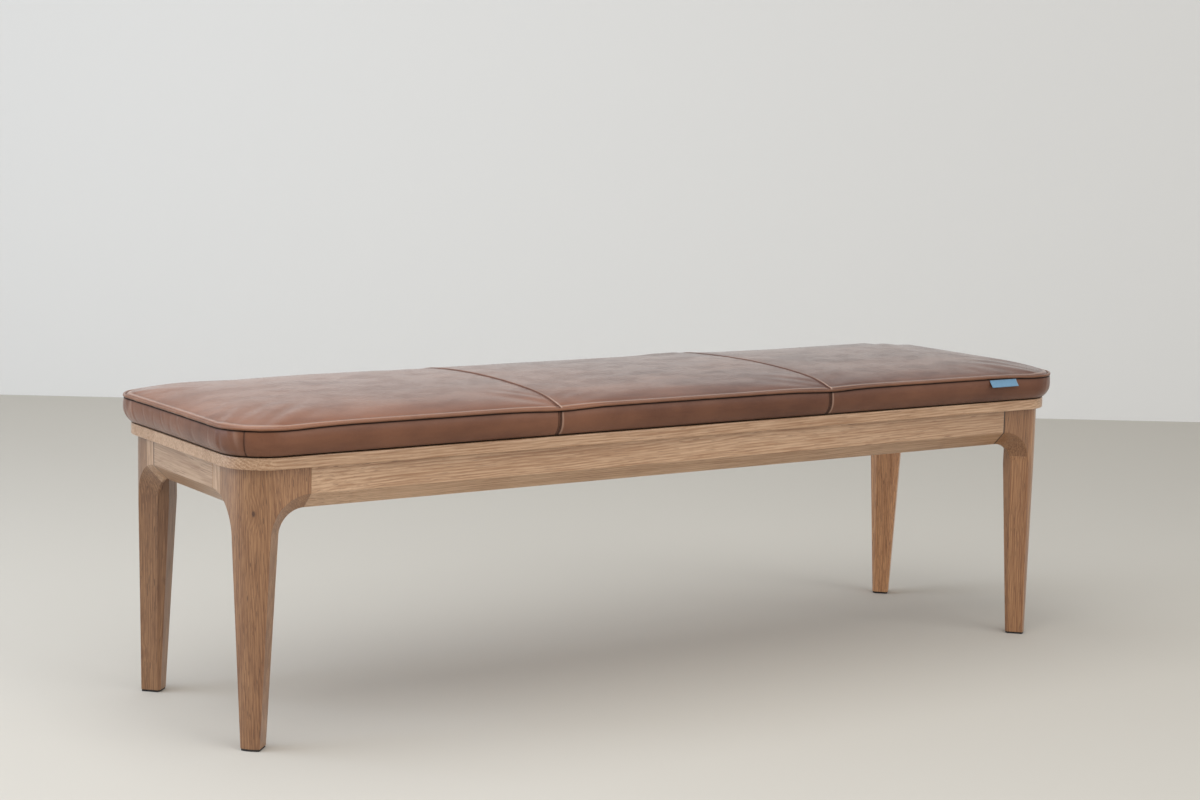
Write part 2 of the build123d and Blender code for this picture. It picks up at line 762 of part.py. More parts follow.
# The top is three panels, parted at the two cross seams
seams = (-board_length, -seam_place, seam_place, board_length)
for side_name, left, right in zip(("left", "centre", "right"), seams, seams[1:]):
    with BuildPart() as top_panel:
        add(top_skin.part)
        with BuildSketch(Plane.XY.offset(piping_top)):
            with Locations((left, 0)):
                Rectangle(right - left, 2 * board_depth, align=(Align.MIN, Align.CENTER))
        extrude(amount=crown_rise + overrun, mode=Mode.INTERSECT)
    top_panel.part.label = f"{side_name}_top_panel"
    export_step(top_panel.part, f"parts/{side_name}_top_panel.step")

# Where the zip lies in the back band
zip_height = pad_bottom + band_height * zip_height_share
with BuildPart() as zip_zone:
    with BuildSketch(Plane.XZ):
        with Locations((0, zip_height)):
            Rectangle(zip_length, zip_width)
    extrude(amount=-board_depth)

# The band is six strips: three along the front, one at each end and one with the zip at the back
side_run = board_length / 2 - board_corner
end_run = board_depth / 2 - board_corner
reach = board_corner + pad_overhang + overrun
near_left = (-side_run, -end_run)
near_right = (side_run, -end_run)
far_left = (-side_run, end_run)
far_right = (side_run, end_run)
out_near_left = (-side_run - reach, -end_run - reach)
out_near_right = (side_run + reach, -end_run - reach)
out_far_left = (-side_run - reach, end_run + reach)
out_far_right = (side_run + reach, end_run + reach)
left_seam = [(-seam_place, -end_run - reach), (-seam_place, -end_run)]
right_seam = [(seam_place, -end_run - reach), (seam_place, -end_run)]
band_zones = {
    "left_front_band": [near_left, out_near_left] + left_seam,
    "centre_front_band": left_seam[::-1] + right_seam,
    "right_front_band": [near_right, out_near_right] + right_seam,
    "left_end_band": [near_left, out_near_left, out_far_left, far_left],
    "right_end_band": [near_right, out_near_right, out_far_right, far_right],
    "back_band": [far_left, out_far_left, out_far_right, far_right],
}
for band_name, zone_corners in band_zones.items():
    with BuildPart() as band_strip:
        add(band_skin.part)
        with BuildSketch(Plane.XY.offset(pad_bottom)):
            with BuildLine():
                Polyline(*zone_corners, close=True)
            make_face()
        extrude(amount=band_height, mode=Mode.INTERSECT)
        if band_name == "back_band":
            add(zip_zone.part, mode=Mode.SUBTRACT)
    band_strip.part.label = band_name
    export_step(band_strip.part, f"parts/{band_name}.step")

# Zip tape with its teeth, and the slider that runs on it
with BuildPart() as zip_tape:
    add(band_skin.part)
    add(zip_zone.part, mode=Mode.INTERSECT)
zip_tape.part.label = "zip_tape"
export_step(zip_tape.part, "parts/zip_tape.step")
slider_x = zip_length / 2 - slider_length
slider_draw = side_draw * (1 - (slider_x / side_run) ** 2)
slider_seat = board_depth / 2 + pad_overhang * band_swell_share[3] - slider_draw + clearance
with BuildPart() as zip_slider:
    with BuildSketch(Plane.XZ.offset(-slider_seat)):
        with Locations((slider_x, zip_height)):
            SlotOverall(slider_length, slider_width)
    extrude(amount=-slider_thick)
    with BuildSketch(Plane.XZ.offset(-slider_seat - slider_thick)):
        with Locations((slider_x - pull_length / 2, zip_height)):
            SlotOverall(pull_length, pull_width)
    extrude(amount=-pull_thick)
zip_slider.part.label = "zip_slider"
export_step(zip_slider.part, "parts/zip_slider.step")

# Piping sewn in between the band and the top
piping_path = grown_outline(band_top + piping_radius, rim_grow - skin / 2).face().outer_wire()
with BuildPart() as piping:
    with BuildSketch(Plane(origin=piping_path @ 0, z_dir=piping_path % 0)):
        Circle(piping_radius)
    sweep(path=piping_path)
piping.part.label = "piping"
export_step(piping.part, "parts/piping.step")

with BuildPart() as bottom_panel:
    extrude(grown_outline(pad_bottom, pad_overhang * band_swell_share[0] - skin), amount=skin)
bottom_panel.part.label = "bottom_panel"
export_step(bottom_panel.part, "parts/bottom_panel.step")

# Foam filling, necked in behind the piping
with BuildPart() as pad_foam:
    add(band_solid(foam_inset))
    with BuildSketch(Plane.XY.offset(pad_bottom)):
        Rectangle(2 * board_length, 2 * board_depth)
    extrude(amount=skin, mode=Mode.SUBTRACT)
    extrude(grown_outline(band_top, rim_grow - foam_inset - 2 * piping_radius), amount=2 * piping_radius)
    add(crown_solid(foam_inset))
pad_foam.part.label = "pad_foam"
export_step(pad_foam.part, "parts/pad_foam.step")

# Blank tab sewn in under the piping near the right corner, standing off the band
tab_draw = side_draw * (1 - (tab_place / side_run) ** 2)
tab_top = -(board_depth / 2 + rim_grow - tab_draw + soft_gap)
tab_foot = tab_top - tab_flare
with BuildPart() as sewn_tab:
    with BuildSketch(Plane.YZ.offset(tab_place)):
        with BuildLine():
            Polyline(
                (tab_top, band_top),
                (tab_top - tab_thick, band_top),
                (tab_foot - tab_thick, band_top - tab_drop),
                (tab_foot, band_top - tab_drop),
                close=True,
            )
        make_face()
    extrude(amount=tab_width / 2, both=True)
sewn_tab.part.label = "sewn_tab"
export_step(sewn_tab.part, "parts/sewn_tab.step")
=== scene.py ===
# %% [markdown]
# # A dining bench in oak with a loose leather seat pad
#
# The construction comes from elsewhere, at its real size: rails, legs, brackets and screws are solids that
# are never reshaped here. This lesson adds the looks. Each board gets a finish whose grain runs the way it
# was cut, and the seat pad, so far a plain block, is made again as sewn leather over foam. Everything is in
# metres, with X along the bench, Y from front to back and Z up.

import math
import random
from functools import partial, reduce

import bmesh
import bpy
import numpy as np
from mathutils import Euler, Matrix, Vector


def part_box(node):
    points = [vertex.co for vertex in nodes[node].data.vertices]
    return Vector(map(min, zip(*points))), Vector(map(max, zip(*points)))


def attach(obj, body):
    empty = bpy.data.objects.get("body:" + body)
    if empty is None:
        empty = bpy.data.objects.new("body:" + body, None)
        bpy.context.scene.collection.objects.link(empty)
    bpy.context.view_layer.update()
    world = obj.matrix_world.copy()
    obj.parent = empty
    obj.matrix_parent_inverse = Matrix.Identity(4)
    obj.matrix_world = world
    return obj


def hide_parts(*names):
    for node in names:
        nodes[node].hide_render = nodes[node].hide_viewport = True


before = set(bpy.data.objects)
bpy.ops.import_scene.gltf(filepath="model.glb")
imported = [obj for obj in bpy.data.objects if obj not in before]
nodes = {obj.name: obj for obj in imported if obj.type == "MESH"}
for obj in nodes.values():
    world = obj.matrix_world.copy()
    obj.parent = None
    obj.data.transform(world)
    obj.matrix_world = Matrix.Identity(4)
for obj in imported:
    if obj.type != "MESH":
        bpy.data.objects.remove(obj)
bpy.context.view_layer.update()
mm = 0.001
corner_names = ("front_left", "front_right", "back_left", "back_right")

# %% [markdown]
# ## The camera
#
# A picture taken level with a seat makes it look tall, and one from high up hides the legs. This camera
# stands about a metre up, to the left and well back, with a long lens, so that the far end stays large. Its
# place and three turns were worked out once from the board's corners. The roll is small but real.

# %% Camera
camera_place = Vector((-2.1442, -3.1562, 0.9747))
camera_turn = math.radians(33.71)
camera_dip = math.radians(7.87)
camera_roll = math.radians(1.32)
camera_lens = 68.46


def set_all(thing, **values):
    """Sets several properties of a thing, and gives it back."""
    for key, value in values.items():
        setattr(thing, key, value)
    return thing


def add_object(name, data):
    """A new object in the scene."""
    made = bpy.data.objects.new(name, data)
    bpy.context.scene.collection.objects.link(made)
    return made


level_ahead = Vector((math.sin(camera_turn), math.cos(camera_turn), 0))
level_right = Vector((math.cos(camera_turn), -math.sin(camera_turn), 0))
ahead = level_ahead * math.cos(camera_dip) - Vector((0, 0, math.sin(camera_dip)))
right = level_right * math.cos(camera_roll) + level_right.cross(ahead) * math.sin(camera_roll)
camera_axes = Matrix((right, right.cross(ahead), -ahead)).transposed().to_4x4()
camera_data = bpy.data.cameras.new("camera")
camera = add_object("camera", set_all(camera_data, lens=camera_lens, sensor_width=36, clip_end=60))
camera.matrix_world = Matrix.Translation(camera_place) @ camera_axes
bpy.context.scene.camera = camera
print("camera looks along", tuple(round(x, 3) for x in ahead))

# %% [markdown]
# ## Helpers for shader nodes
#
# A finish is a tree of nodes, and by hand each node takes three lines. These helpers make a node, set its
# options, and fill its inputs with plain values or links. A socket knows the tree that it belongs to, so
# the sums need not be told where to go.

# %% Node helpers
def fill(node, inputs):
    """Fills a node's inputs with plain values, or with links from other nodes."""
    for key, value in inputs.items():
        if isinstance(value, bpy.types.NodeSocket):
            node.id_data.links.new(value, node.inputs[key])
        else:
            node.inputs[key].default_value = value


def put(tree, kind, inputs=None, **options):
    """A new shader node with its options set and its inputs filled."""
    made = set_all(tree.nodes.new("ShaderNode" + kind), **options)
    fill(made, inputs or {})
    return made


def tree_of(values):
    """The tree of the first socket among some values."""
    return next(value.id_data for value in values if isinstance(value, bpy.types.NodeSocket))


def calc(operation, *values):
    """One sum on numbers: the output of a Math node."""
    return put(tree_of(values), "Math", dict(enumerate(values)), operation=operation).outputs[0]


def times(*values):
    """Numbers multiplied with each other."""
    return reduce(partial(calc, "MULTIPLY"), values)


def total(*values):
    """Numbers added up."""
    return reduce(partial(calc, "ADD"), values)


def vector(operation, *values):
    """One sum on vectors, which gives a vector, or a number where it measures."""
    made = put(tree_of(values), "VectorMath", dict(enumerate(values)), operation=operation)
    return made.outputs["Value" if operation in ("LENGTH", "DOT_PRODUCT") else "Vector"]


def axes_of(place):
    """The three parts of a vector, by the names X, Y and Z."""
    return put(place.id_data, "SeparateXYZ", {0: place}).outputs


def cloud(place, scale, detail=2.0, roughness=0.5, output="Fac"):
    """Soft noise from 0 to 1, with this many lumps to a metre each way."""
    scaled = vector("MULTIPLY", place, scale)
    inputs = {"Vector": scaled, "Scale": 1.0, "Detail": detail, "Roughness": roughness}
    return put(place.id_data, "TexNoise", inputs).outputs[output]


def ramp(value, low, high, to_low=0.0, to_high=1.0):
    """A value between low and high, eased onto another range."""
    inputs = {"Value": value, "From Min": low, "From Max": high, "To Min": to_low, "To Max": to_high}
    return put(value.id_data, "MapRange", inputs, interpolation_type="SMOOTHSTEP").outputs["Result"]


def blend(share, first, second):
    """Two colours mixed by a share from 0 to 1."""
    inputs = {0: share, 6: first, 7: second}
    return put(tree_of(inputs.values()), "Mix", inputs, data_type="RGBA").outputs[2]


def bump(height, strength, distance, **base):
    """The normals that a height gives, over those of eased edges where there are any."""
    inputs = {"Height": height, "Strength": strength, "Distance": distance, **base}
    return put(height.id_data, "Bump", inputs).outputs["Normal"]


def new_group(name, inputs, outputs):
    """An empty shader group with sockets for such values, what its nodes read, and its last node."""
    tree = bpy.data.node_groups.new(name, "ShaderNodeTree")
    for way, sockets in (("INPUT", inputs), ("OUTPUT", outputs)):
        for label, value in sockets.items():
            kind = {1: "NodeSocketFloat", 3: "NodeSocketVector", 4: "NodeSocketColor"}[np.size(value)]
            tree.interface.new_socket(label, in_out=way, socket_type=kind).default_value = value
    return tree, tree.nodes.new("NodeGroupInput").outputs, tree.nodes.new("NodeGroupOutput")


def shade(red, green, blue):
    """A screen's colour, from 0 to 255, as the linear numbers that shaders use."""
    parts = [part / 255 for part in (red, green, blue)]
    linear = [part / 12.92 if part <= 0.04045 else ((part + 0.055) / 1.055) ** 2.4 for part in parts]
    return (*linear, 1)


print("helpers ready")

# %% [markdown]
# ## Floor, backdrop and light
#
# The room is left out. A pale floor and an upright sheet behind it are enough. The
# light is plain: an even sky, a wide soft lamp from the front right, a cool one from the left like a
# window, and a large one overhead. Nothing shines from where the camera stands, so the faces turned to it
# stay the deepest in tone, the bevels and ends come out paler, and the floor throws light back to lift the
# undersides.

# %% Floor and backdrop
floor_color = (0.568, 0.539, 0.482, 1)
wall_color = (0.8, 0.79, 0.765, 1)
stage_roughness = 0.9
floor_reach = 9.0
wall_height = 2.2
wall_place = 3.05


def new_mesh(name, points, faces):
    """A mesh from a list or a grid of points, and its faces."""
    mesh = bpy.data.meshes.new(name)
    mesh.from_pydata(np.reshape(points, (-1, 3)).tolist(), [], faces)
    return mesh


def stage_sheet(name, corners, color):
    """A flat stage piece with one plain, matt colour."""
    mesh = new_mesh(name, corners, [(0, 1, 2, 3)])
    paint = set_all(bpy.data.materials.new(name + "_paint"), use_nodes=True)
    fill(paint.node_tree.nodes["Principled BSDF"], {"Base Color": color, "Roughness": stage_roughness})
    mesh.materials.append(paint)
    add_object(name, mesh)


wall_foot = [level_ahead * wall_place + level_right * (side * floor_reach) for side in (-1, 1)]
wall_head = [foot + Vector((0, 0, wall_height)) for foot in reversed(wall_foot)]
floor_signs = ((-1, -1, 0), (1, -1, 0), (1, 1, 0), (-1, 1, 0))
stage_sheet("floor", np.array(floor_signs) * floor_reach, floor_color)
stage_sheet("backdrop", wall_foot + wall_head, wall_color)
print("stage made")

# %% Lamps and sky
lamp_table = {
    "left_lamp": ((-3.4, 1.5, 1.5), (0, 0, 0.4), {"size": 2.4, "energy": 53, "color": (0.62, 0.77, 1)}),
    "right_lamp": ((2.6, -6.2, 3.2), (0, 0, 0.4), {"size": 5.2, "energy": 153}),
    "top_lamp": ((-2.2, -0.8, 3.4), (-2.2, -0.8, 0), {"size": 5.0, "energy": 134}),
}
sky_strength = 0.5

for name, (place, aim, light) in lamp_table.items():
    lamp = add_object(name, set_all(bpy.data.lights.new(name, "AREA"), shape="SQUARE", **light))
    lamp.location = place
    lamp.rotation_euler = (Vector(aim) - Vector(place)).to_track_quat("-Z", "Y").to_euler()
world = set_all(bpy.data.worlds.new("sky"), use_nodes=True)
fill(world.node_tree.nodes["Background"], {"Color": (1, 1, 1, 1), "Strength": sky_strength})
bpy.context.scene.world = world
bpy.context.scene.view_settings.view_transform = "Standard"
print(len(lamp_table), "lamps")

# %% [markdown]
# ## Oak
#
# Painted stripes on a box never look like wood, because a board is cut out of a trunk. So the grain fills
# space: the distance from a far-off pith gives the yearly rings, slow noise makes them wander, and every
# face of a board shows what the cut through them would show. Long thin pores are oak's own mark. The group
# takes coordinates whose X runs along the trunk, and gives a colour, a roughness and a height.

# %% Oak group
no_vector, black = (0, 0, 0), (0, 0, 0, 1)
figure_outputs = {"Color": black, "Roughness": 0.0, "Height": 0.0}


def make_oak_group():
    """Oak's rings, fibres, pores and one knot."""
    inputs = {
        "Along": no_vector, "Light": black, "Dark": black, "Pore color": black, "Pores": 0.5,
        "Ring spacing": 0.004, "Bend start": -9.0, "Bend": 0.0,
        "Knot": (0.0, 0.0, -9.0), "Knot size": 0.003,
    }
    tree, given, last = new_group("oak_figure", inputs, figure_outputs)
    along = given["Along"]
    past = calc("MAXIMUM", calc("SUBTRACT", given["Bend start"], axes_of(along)["X"]), 0.0)
    sweep = times(past, past, given["Bend"])
    bent = put(tree, "CombineXYZ", {"Y": sweep, "Z": sweep}).outputs[0]
    from_knot = vector("MULTIPLY", vector("SUBTRACT", along, given["Knot"]), (0.55, 1.0, 1.0))
    knot_gap = calc("DIVIDE", vector("LENGTH", from_knot), given["Knot size"])
    wander = vector("SUBTRACT", cloud(along, (1.6, 9.0, 9.0), output="Color"), (0.5, 0.5, 0.5))
    moved = vector("ADD", vector("MULTIPLY_ADD", wander, (0.0, 0.035, 0.035), along), bent)
    distance = vector("LENGTH", vector("MULTIPLY", moved, (0.0, 1.0, 1.0)))
    ring = calc("DIVIDE", distance, given["Ring spacing"])
    uneven = times(cloud(moved, (3.0, 90.0, 90.0), 1.0), 1.2)
    year = calc("FRACT", total(ring, uneven, ramp(knot_gap, 7.0, 0.6, 0.0, 1.6)))
    late = times(ramp(year, 0.12, 0.86), ramp(year, 1.0, 0.9))
    swept = vector("ADD", along, bent)
    fibre = cloud(swept, (12.0, 420.0, 420.0), 3.0, 0.65)
    tone = total(
        times(late, 0.4),
        ramp(fibre, 0.36, 0.66, -0.08, 0.48),
        ramp(cloud(moved, (2.2, 70.0, 70.0), 3.0, 0.6), 0.36, 0.66, 0.0, 0.26),
        ramp(cloud(along, (1.3, 9.0, 9.0)), 0.3, 0.7, -0.14, 0.16),
    )
    dashes = ramp(cloud(swept, (34.0, 900.0, 900.0), 1.0), 0.58, 0.67)
    pore = times(dashes, ramp(year, 0.45, 0.1, 0.35, 1.0), given["Pores"])
    color = blend(tone, given["Light"], given["Dark"])
    color = blend(pore, color, given["Pore color"])
    color = blend(ramp(knot_gap, 3.6, 0.8, 0.0, 0.45), color, given["Dark"])
    color = blend(times(ramp(knot_gap, 1.3, 0.5), 0.92), color, given["Pore color"])
    rough = total(ramp(fibre, 0.2, 0.8, 0.34, 0.46), times(pore, 0.2))
    height = total(calc("SUBTRACT", times(fibre, 0.35), pore), times(late, 0.25))
    fill(last, {"Color": color, "Roughness": rough, "Height": height})
    return tree


oak_group = make_oak_group()
print("oak group has", len(oak_group.nodes), "nodes")

# %% [markdown]
# ## Worn edges
#
# No joiner leaves an edge sharp: it is eased with sandpaper, and the wax wears thin there first. The solids
# have sharp edges, so this group rounds how light sees them, and masks them for a paler colour. Wood, steel
# and plastic share it.

# %% Edge group
def make_edge_group():
    """An edge's eased normals and its mask."""
    tree, given, last = new_group("eased_edge", {"Radius": 0.001}, {"Mask": 0.0, "Normal": no_vector})
    rounded = put(tree, "Bevel", {"Radius": given["Radius"]}, samples=6).outputs["Normal"]
    flat = put(tree, "NewGeometry").outputs["Normal"]
    fill(last, {"Mask": ramp(vector("DOT_PRODUCT", rounded, flat), 0.999, 0.93), "Normal": rounded})
    return tree


edge_group = make_edge_group()
print("edge group has", len(edge_group.nodes), "nodes")

# %% [markdown]
# ## One oak finish for each board
#
# Each board came from another part of the tree, so each gets the same group with its own coordinates:
# turned so that X runs along the board, tilted a little, because no board follows its grain exactly, and
# moved away from the pith. A rail cut near the pith shows arches, and one cut far from it straight lines.
# Where a rail meets a leg, a dark line marks the meeting, and painted shade makes the rail a little darker
# towards that end, where less light falls.

# %% Oak finish
grain_turns = {"x": (0, 0, 0), "y": (0, 0, math.radians(-90)), "z": (0, math.radians(90), 0)}
edge_radius = 1.0 * mm
grain_height = 0.16 * mm
joint_reach = 4.0 * mm
joint_color = shade(50, 30, 18)
rail_shade_reach = 560 * mm
rail_shade_share = 0.2
worn_share = 0.35
oak_tones = {
    "rail": {"Light": shade(214, 177, 143), "Dark": shade(163, 120, 84), "Pore color": shade(112, 74, 48)},
    "leg": {"Light": shade(184, 136, 94), "Dark": shade(135, 88, 53), "Pore color": shade(84, 50, 30)},
}


def new_finish(name):
    """A new material, its node tree, its shader, and the coordinates of what wears it."""
    made = set_all(bpy.data.materials.new(name), use_nodes=True)
    tree = made.node_tree
    return made, tree, tree.nodes["Principled BSDF"], put(tree, "TexCoord").outputs["Object"]


def oak_finish(name, run, pith, tilt, tone, depth, spacing=0.0042, pores=0.6, more=None, joint_and_shade=None):
    """Oak whose grain runs along x, y or z, with its pith that far away and its board tilted."""
    made, tree, shader, place = new_finish(name)
    angles = tuple(math.radians(angle) for angle in tilt)
    turned = put(tree, "Mapping", {"Vector": place, "Rotation": grain_turns[run]}).outputs[0]
    tilted = put(tree, "Mapping", {"Vector": turned, "Location": pith, "Rotation": angles}).outputs[0]
    values = {"Along": tilted, "Ring spacing": spacing, "Pores": pores, **(more or {})}
    for key, color in oak_tones[tone].items():
        values[key] = (*(part * depth for part in color[:3]), 1)
    if "Knot" in values:
        turn = Euler(grain_turns[run]).to_matrix()
        values["Knot"] = Euler(angles).to_matrix() @ (turn @ Vector(values["Knot"])) + Vector(pith)
    figure = put(tree, "Group", values, node_tree=oak_group).outputs
    edge = put(tree, "Group", {"Radius": edge_radius}, node_tree=edge_group).outputs
    paler = blend(worn_share, figure["Color"], values["Light"])
    color = blend(edge["Mask"], figure["Color"], paler)
    if joint_and_shade:
        axis, joint_place = joint_and_shade
        off = calc("ABSOLUTE", calc("SUBTRACT", axes_of(place)[axis], joint_place))
        # Painted shade: the rail is darker over about half a metre towards this end, where less light falls
        color = blend(ramp(off, rail_shade_reach, 0.0, 0.0, rail_shade_share), color, values["Pore color"])
        color = blend(ramp(off, joint_reach, joint_reach * 0.6), color, joint_color)
    normal = bump(figure["Height"], 0.5, grain_height, Normal=edge["Normal"])
    fill(shader, {"Base Color": color, "Roughness": figure["Roughness"], "Normal": normal})
    fill(shader, {"Coat Weight": 0.6, "Coat Roughness": 0.3})
    return made


def wear(finish, *names):
    """Gives solids their finish, in every slot that they have."""
    for name in names:
        slots = nodes[name].data.materials
        if not slots:
            slots.append(finish)
        for place in range(len(slots)):
            slots[place] = finish


print("oak comes in", len(oak_tones), "tones")

# %% Boards
front_joint_and_shade = {"joint_and_shade": ("X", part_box("front_rail")[1].x), "more": {"Bend start": -0.1, "Bend": 0.3}}
end_joint_and_shade = {"joint_and_shade": ("Y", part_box("left_end_rail")[1].y)}
# Board, grain direction, pith's distance, tilt in degrees, depth of tone, and what is special about it
rail_table = [
    ("seat_board", "x", (0.0, 0.31, -0.62), (0, 0.6, 1.2), 0.91, {}),
    ("front_rail", "x", (0.4, 0.16, -0.19), (12, 0.7, 1.1), 0.94, front_joint_and_shade),
    ("back_rail", "x", (1.7, -0.15, -0.23), (-9, -0.5, 0.8), 0.97, {}),
    ("left_end_rail", "y", (0.9, 0.55, -0.24), (20, 1.0, 0.7), 0.83, end_joint_and_shade),
    ("right_end_rail", "y", (2.6, -0.5, -0.27), (-16, 0.8, -0.9), 1.02, {}),
    ("left_cross_rail", "y", (3.1, 0.24, -0.3), (6, 0.8, 0.4), 0.86, {}),
    ("right_cross_rail", "y", (4.4, -0.2, -0.3), (-5, -0.8, 0.4), 0.88, {}),
]
# Pith, tilt and depth of tone of each leg's post, and then of the ear on its long side
leg_table = {
    "front_left": ((0.2, 0.93, 0.13), (8, 2.6, 1.8), 0.79, (0.7, 0.66, 0.21), (33, 3.2, -2.4), 0.82),
    "front_right": ((1.3, -0.60, 0.15), (-6, 1.6, 1.2), 0.99, (1.9, -0.45, 0.19), (-24, -2.2, 2.0), 0.8),
    "back_left": ((2.3, 0.90, -0.34), (12, -1.8, 1.4), 0.69, (2.8, 0.68, -0.27), (16, 2.4, -1.4), 0.86),
    "back_right": ((3.2, -0.62, -0.36), (-14, 1.2, -1.6), 1.36, (3.8, -0.48, -0.25), (-19, 1.8, 1.2), 1.0),
}
knot_table = {
    "front_left": {"Knot": (-0.768, -0.205, 0.353), "Knot size": 0.0026},
    "front_right": {"Knot": (0.745, -0.193, 0.213), "Knot size": 0.0034},
    "back_left": {"Knot": (-0.775, 0.175, 0.062), "Knot size": 0.0018},
}
end_ear_step = (0.5, -0.11, 0.09)

for node, run, pith, tilt, depth, special in rail_table:
    wear(oak_finish(f"oak_of_{node}", run, pith, tilt, "rail", depth, **special), node)
for corner, (pith, tilt, depth, ear_pith, ear_tilt, ear_depth) in leg_table.items():
    end_pith = tuple(part + step for part, step in zip(ear_pith, end_ear_step))
    for piece, *cut in (
        ("leg", pith, tilt, "leg", depth, 0.0036, 0.85, knot_table.get(corner)),
        ("side_ear", ear_pith, ear_tilt, "leg", ear_depth, 0.0034, 0.85),
        ("end_ear", end_pith, ear_tilt, "rail", 0.88, 0.0036, 0.8),
    ):
        wear(oak_finish(f"oak_of_{corner}_{piece}", "z", *cut), f"{corner}_{piece}")
dowel_finish = oak_finish("pale_dowel", "x", (0.1, 0.4, 0.2), (0, 0, 0), "rail", 1.1, 0.003, 0.2)
wear(dowel_finish, "rail_dowels", "cross_rail_dowels")
print(len(rail_table) + 3 * len(leg_table), "boards finished")

# %% [markdown]
# ## Zinc, plastic and woven strips
#
# The hidden fittings are plain: zinc-plated steel with cloudy patches where the plating took unevenly, dark
# plastic glides scuffed by the floor, and hook and loop strips. Somebody who turns the bench over should
# find them right. Cloth gets its own group, because its threads really do repeat.

# %% Fittings' finishes
fitting_radius = 0.35 * mm


def fitting_finish(name, light, dark, metallic, roughness, lumps, height):
    """A hard finish with patches, scratches and eased edges."""
    made, tree, shader, place = new_finish(name)
    patches = ramp(cloud(place, (lumps, lumps, lumps), 4.0, 0.6), 0.35, 0.68)
    scratches = ramp(cloud(place, (lumps * 6, lumps * 0.7, lumps * 22)), 0.56, 0.64)
    edge = put(tree, "Group", {"Radius": fitting_radius}, node_tree=edge_group).outputs
    color = blend(times(edge["Mask"], 0.6), blend(patches, light, dark), light)
    rough = total(ramp(patches, 0.0, 1.0, roughness, roughness + 0.16), times(scratches, 0.12))
    normal = bump(scratches, 0.4, height, Normal=edge["Normal"])
    fill(shader, {"Base Color": color, "Roughness": rough, "Normal": normal, "Metallic": metallic})
    return made


zinc_finish = fitting_finish(
    "zinc_steel", shade(206, 208, 208), shade(158, 162, 166), 1.0, 0.34, 130, 0.04 * mm
)
dark_plastic = fitting_finish(
    "dark_plastic", shade(52, 46, 42), shade(26, 22, 20), 0.0, 0.5, 210, 0.05 * mm
)
old_brass = fitting_finish("old_brass", shade(196, 160, 98), shade(120, 92, 54), 1.0, 0.3, 300, 0.03 * mm)
wear(zinc_finish, "hanger_bolts", "washers", "nuts", "bracket_screws", "cross_rail_screws", "board_clips")
wear(zinc_finish, "clip_screws", "glide_nails", *(f"{corner}_bracket" for corner in corner_names))
wear(dark_plastic, *(f"{corner}_glide" for corner in corner_names))
wear(old_brass, "zip_slider")
print("fittings finished")

# %% Weave group
def make_weave_group():
    """Threads that pass over and under each other, and the gaps between them."""
    inputs = {"Place": no_vector, "Threads": 1200.0}
    tree, given, last = new_group("weave", inputs, {"Height": 0.0, "Gap": 0.0})
    scale = {0: given["Place"], "Scale": times(given["Threads"], math.pi)}
    axes = axes_of(put(tree, "VectorMath", scale, operation="SCALE").outputs[0])
    waves = [calc("SINE", axes["X"]), calc("SINE", total(axes["Y"], axes["Z"]))]
    warp, weft = (calc("ABSOLUTE", wave) for wave in waves)
    over = ramp(times(*waves), -0.3, 0.3)
    height = put(tree, "Mix", {0: over, 2: warp, 3: weft}).outputs[0]
    fill(last, {"Height": height, "Gap": ramp(times(warp, weft), 0.3, 0.02)})
    return tree


weave_group = make_weave_group()


def woven_finish(name, light, dark, threads, roughness=0.85, height=0.12 * mm):
    """Woven cloth with that many threads to a metre."""
    made, tree, shader, place = new_finish(name)
    weave = put(tree, "Group", {"Place": place, "Threads": threads}, node_tree=weave_group).outputs
    fuzz = cloud(place, (900, 900, 900), 3.0, 0.7)
    shadow = total(times(weave["Gap"], 0.7), ramp(fuzz, 0.4, 0.8, 0.0, 0.3))
    fill(shader, {
        "Base Color": blend(shadow, light, dark),
        "Normal": bump(total(weave["Height"], fuzz), 0.6, height),
        "Roughness": ramp(fuzz, 0.2, 0.8, roughness - 0.08, roughness + 0.08),
        "Sheen Weight": 0.3,
        "Sheen Roughness": 0.5,
        "Specular IOR Level": 0.25,
    })
    return made


strip_finish = woven_finish("hook_strip_cloth", shade(38, 36, 36), shade(12, 11, 11), 900.0)
lining_finish = woven_finish("lining_cloth", shade(74, 64, 58), shade(40, 34, 30), 1500.0)
zip_finish = woven_finish("zip_cloth", shade(86, 60, 46), shade(46, 31, 24), 1900.0)
tab_finish = woven_finish("tab_ribbon", shade(112, 152, 180), shade(84, 122, 152), 1300.0, 0.7, 0.08 * mm)
thread_finish = woven_finish("waxed_thread", shade(92, 60, 45), shade(56, 35, 26), 2600.0, 0.6, 0.05 * mm)
wear(strip_finish, "hook_strips", "loop_strips")
print("weave finishes ready")
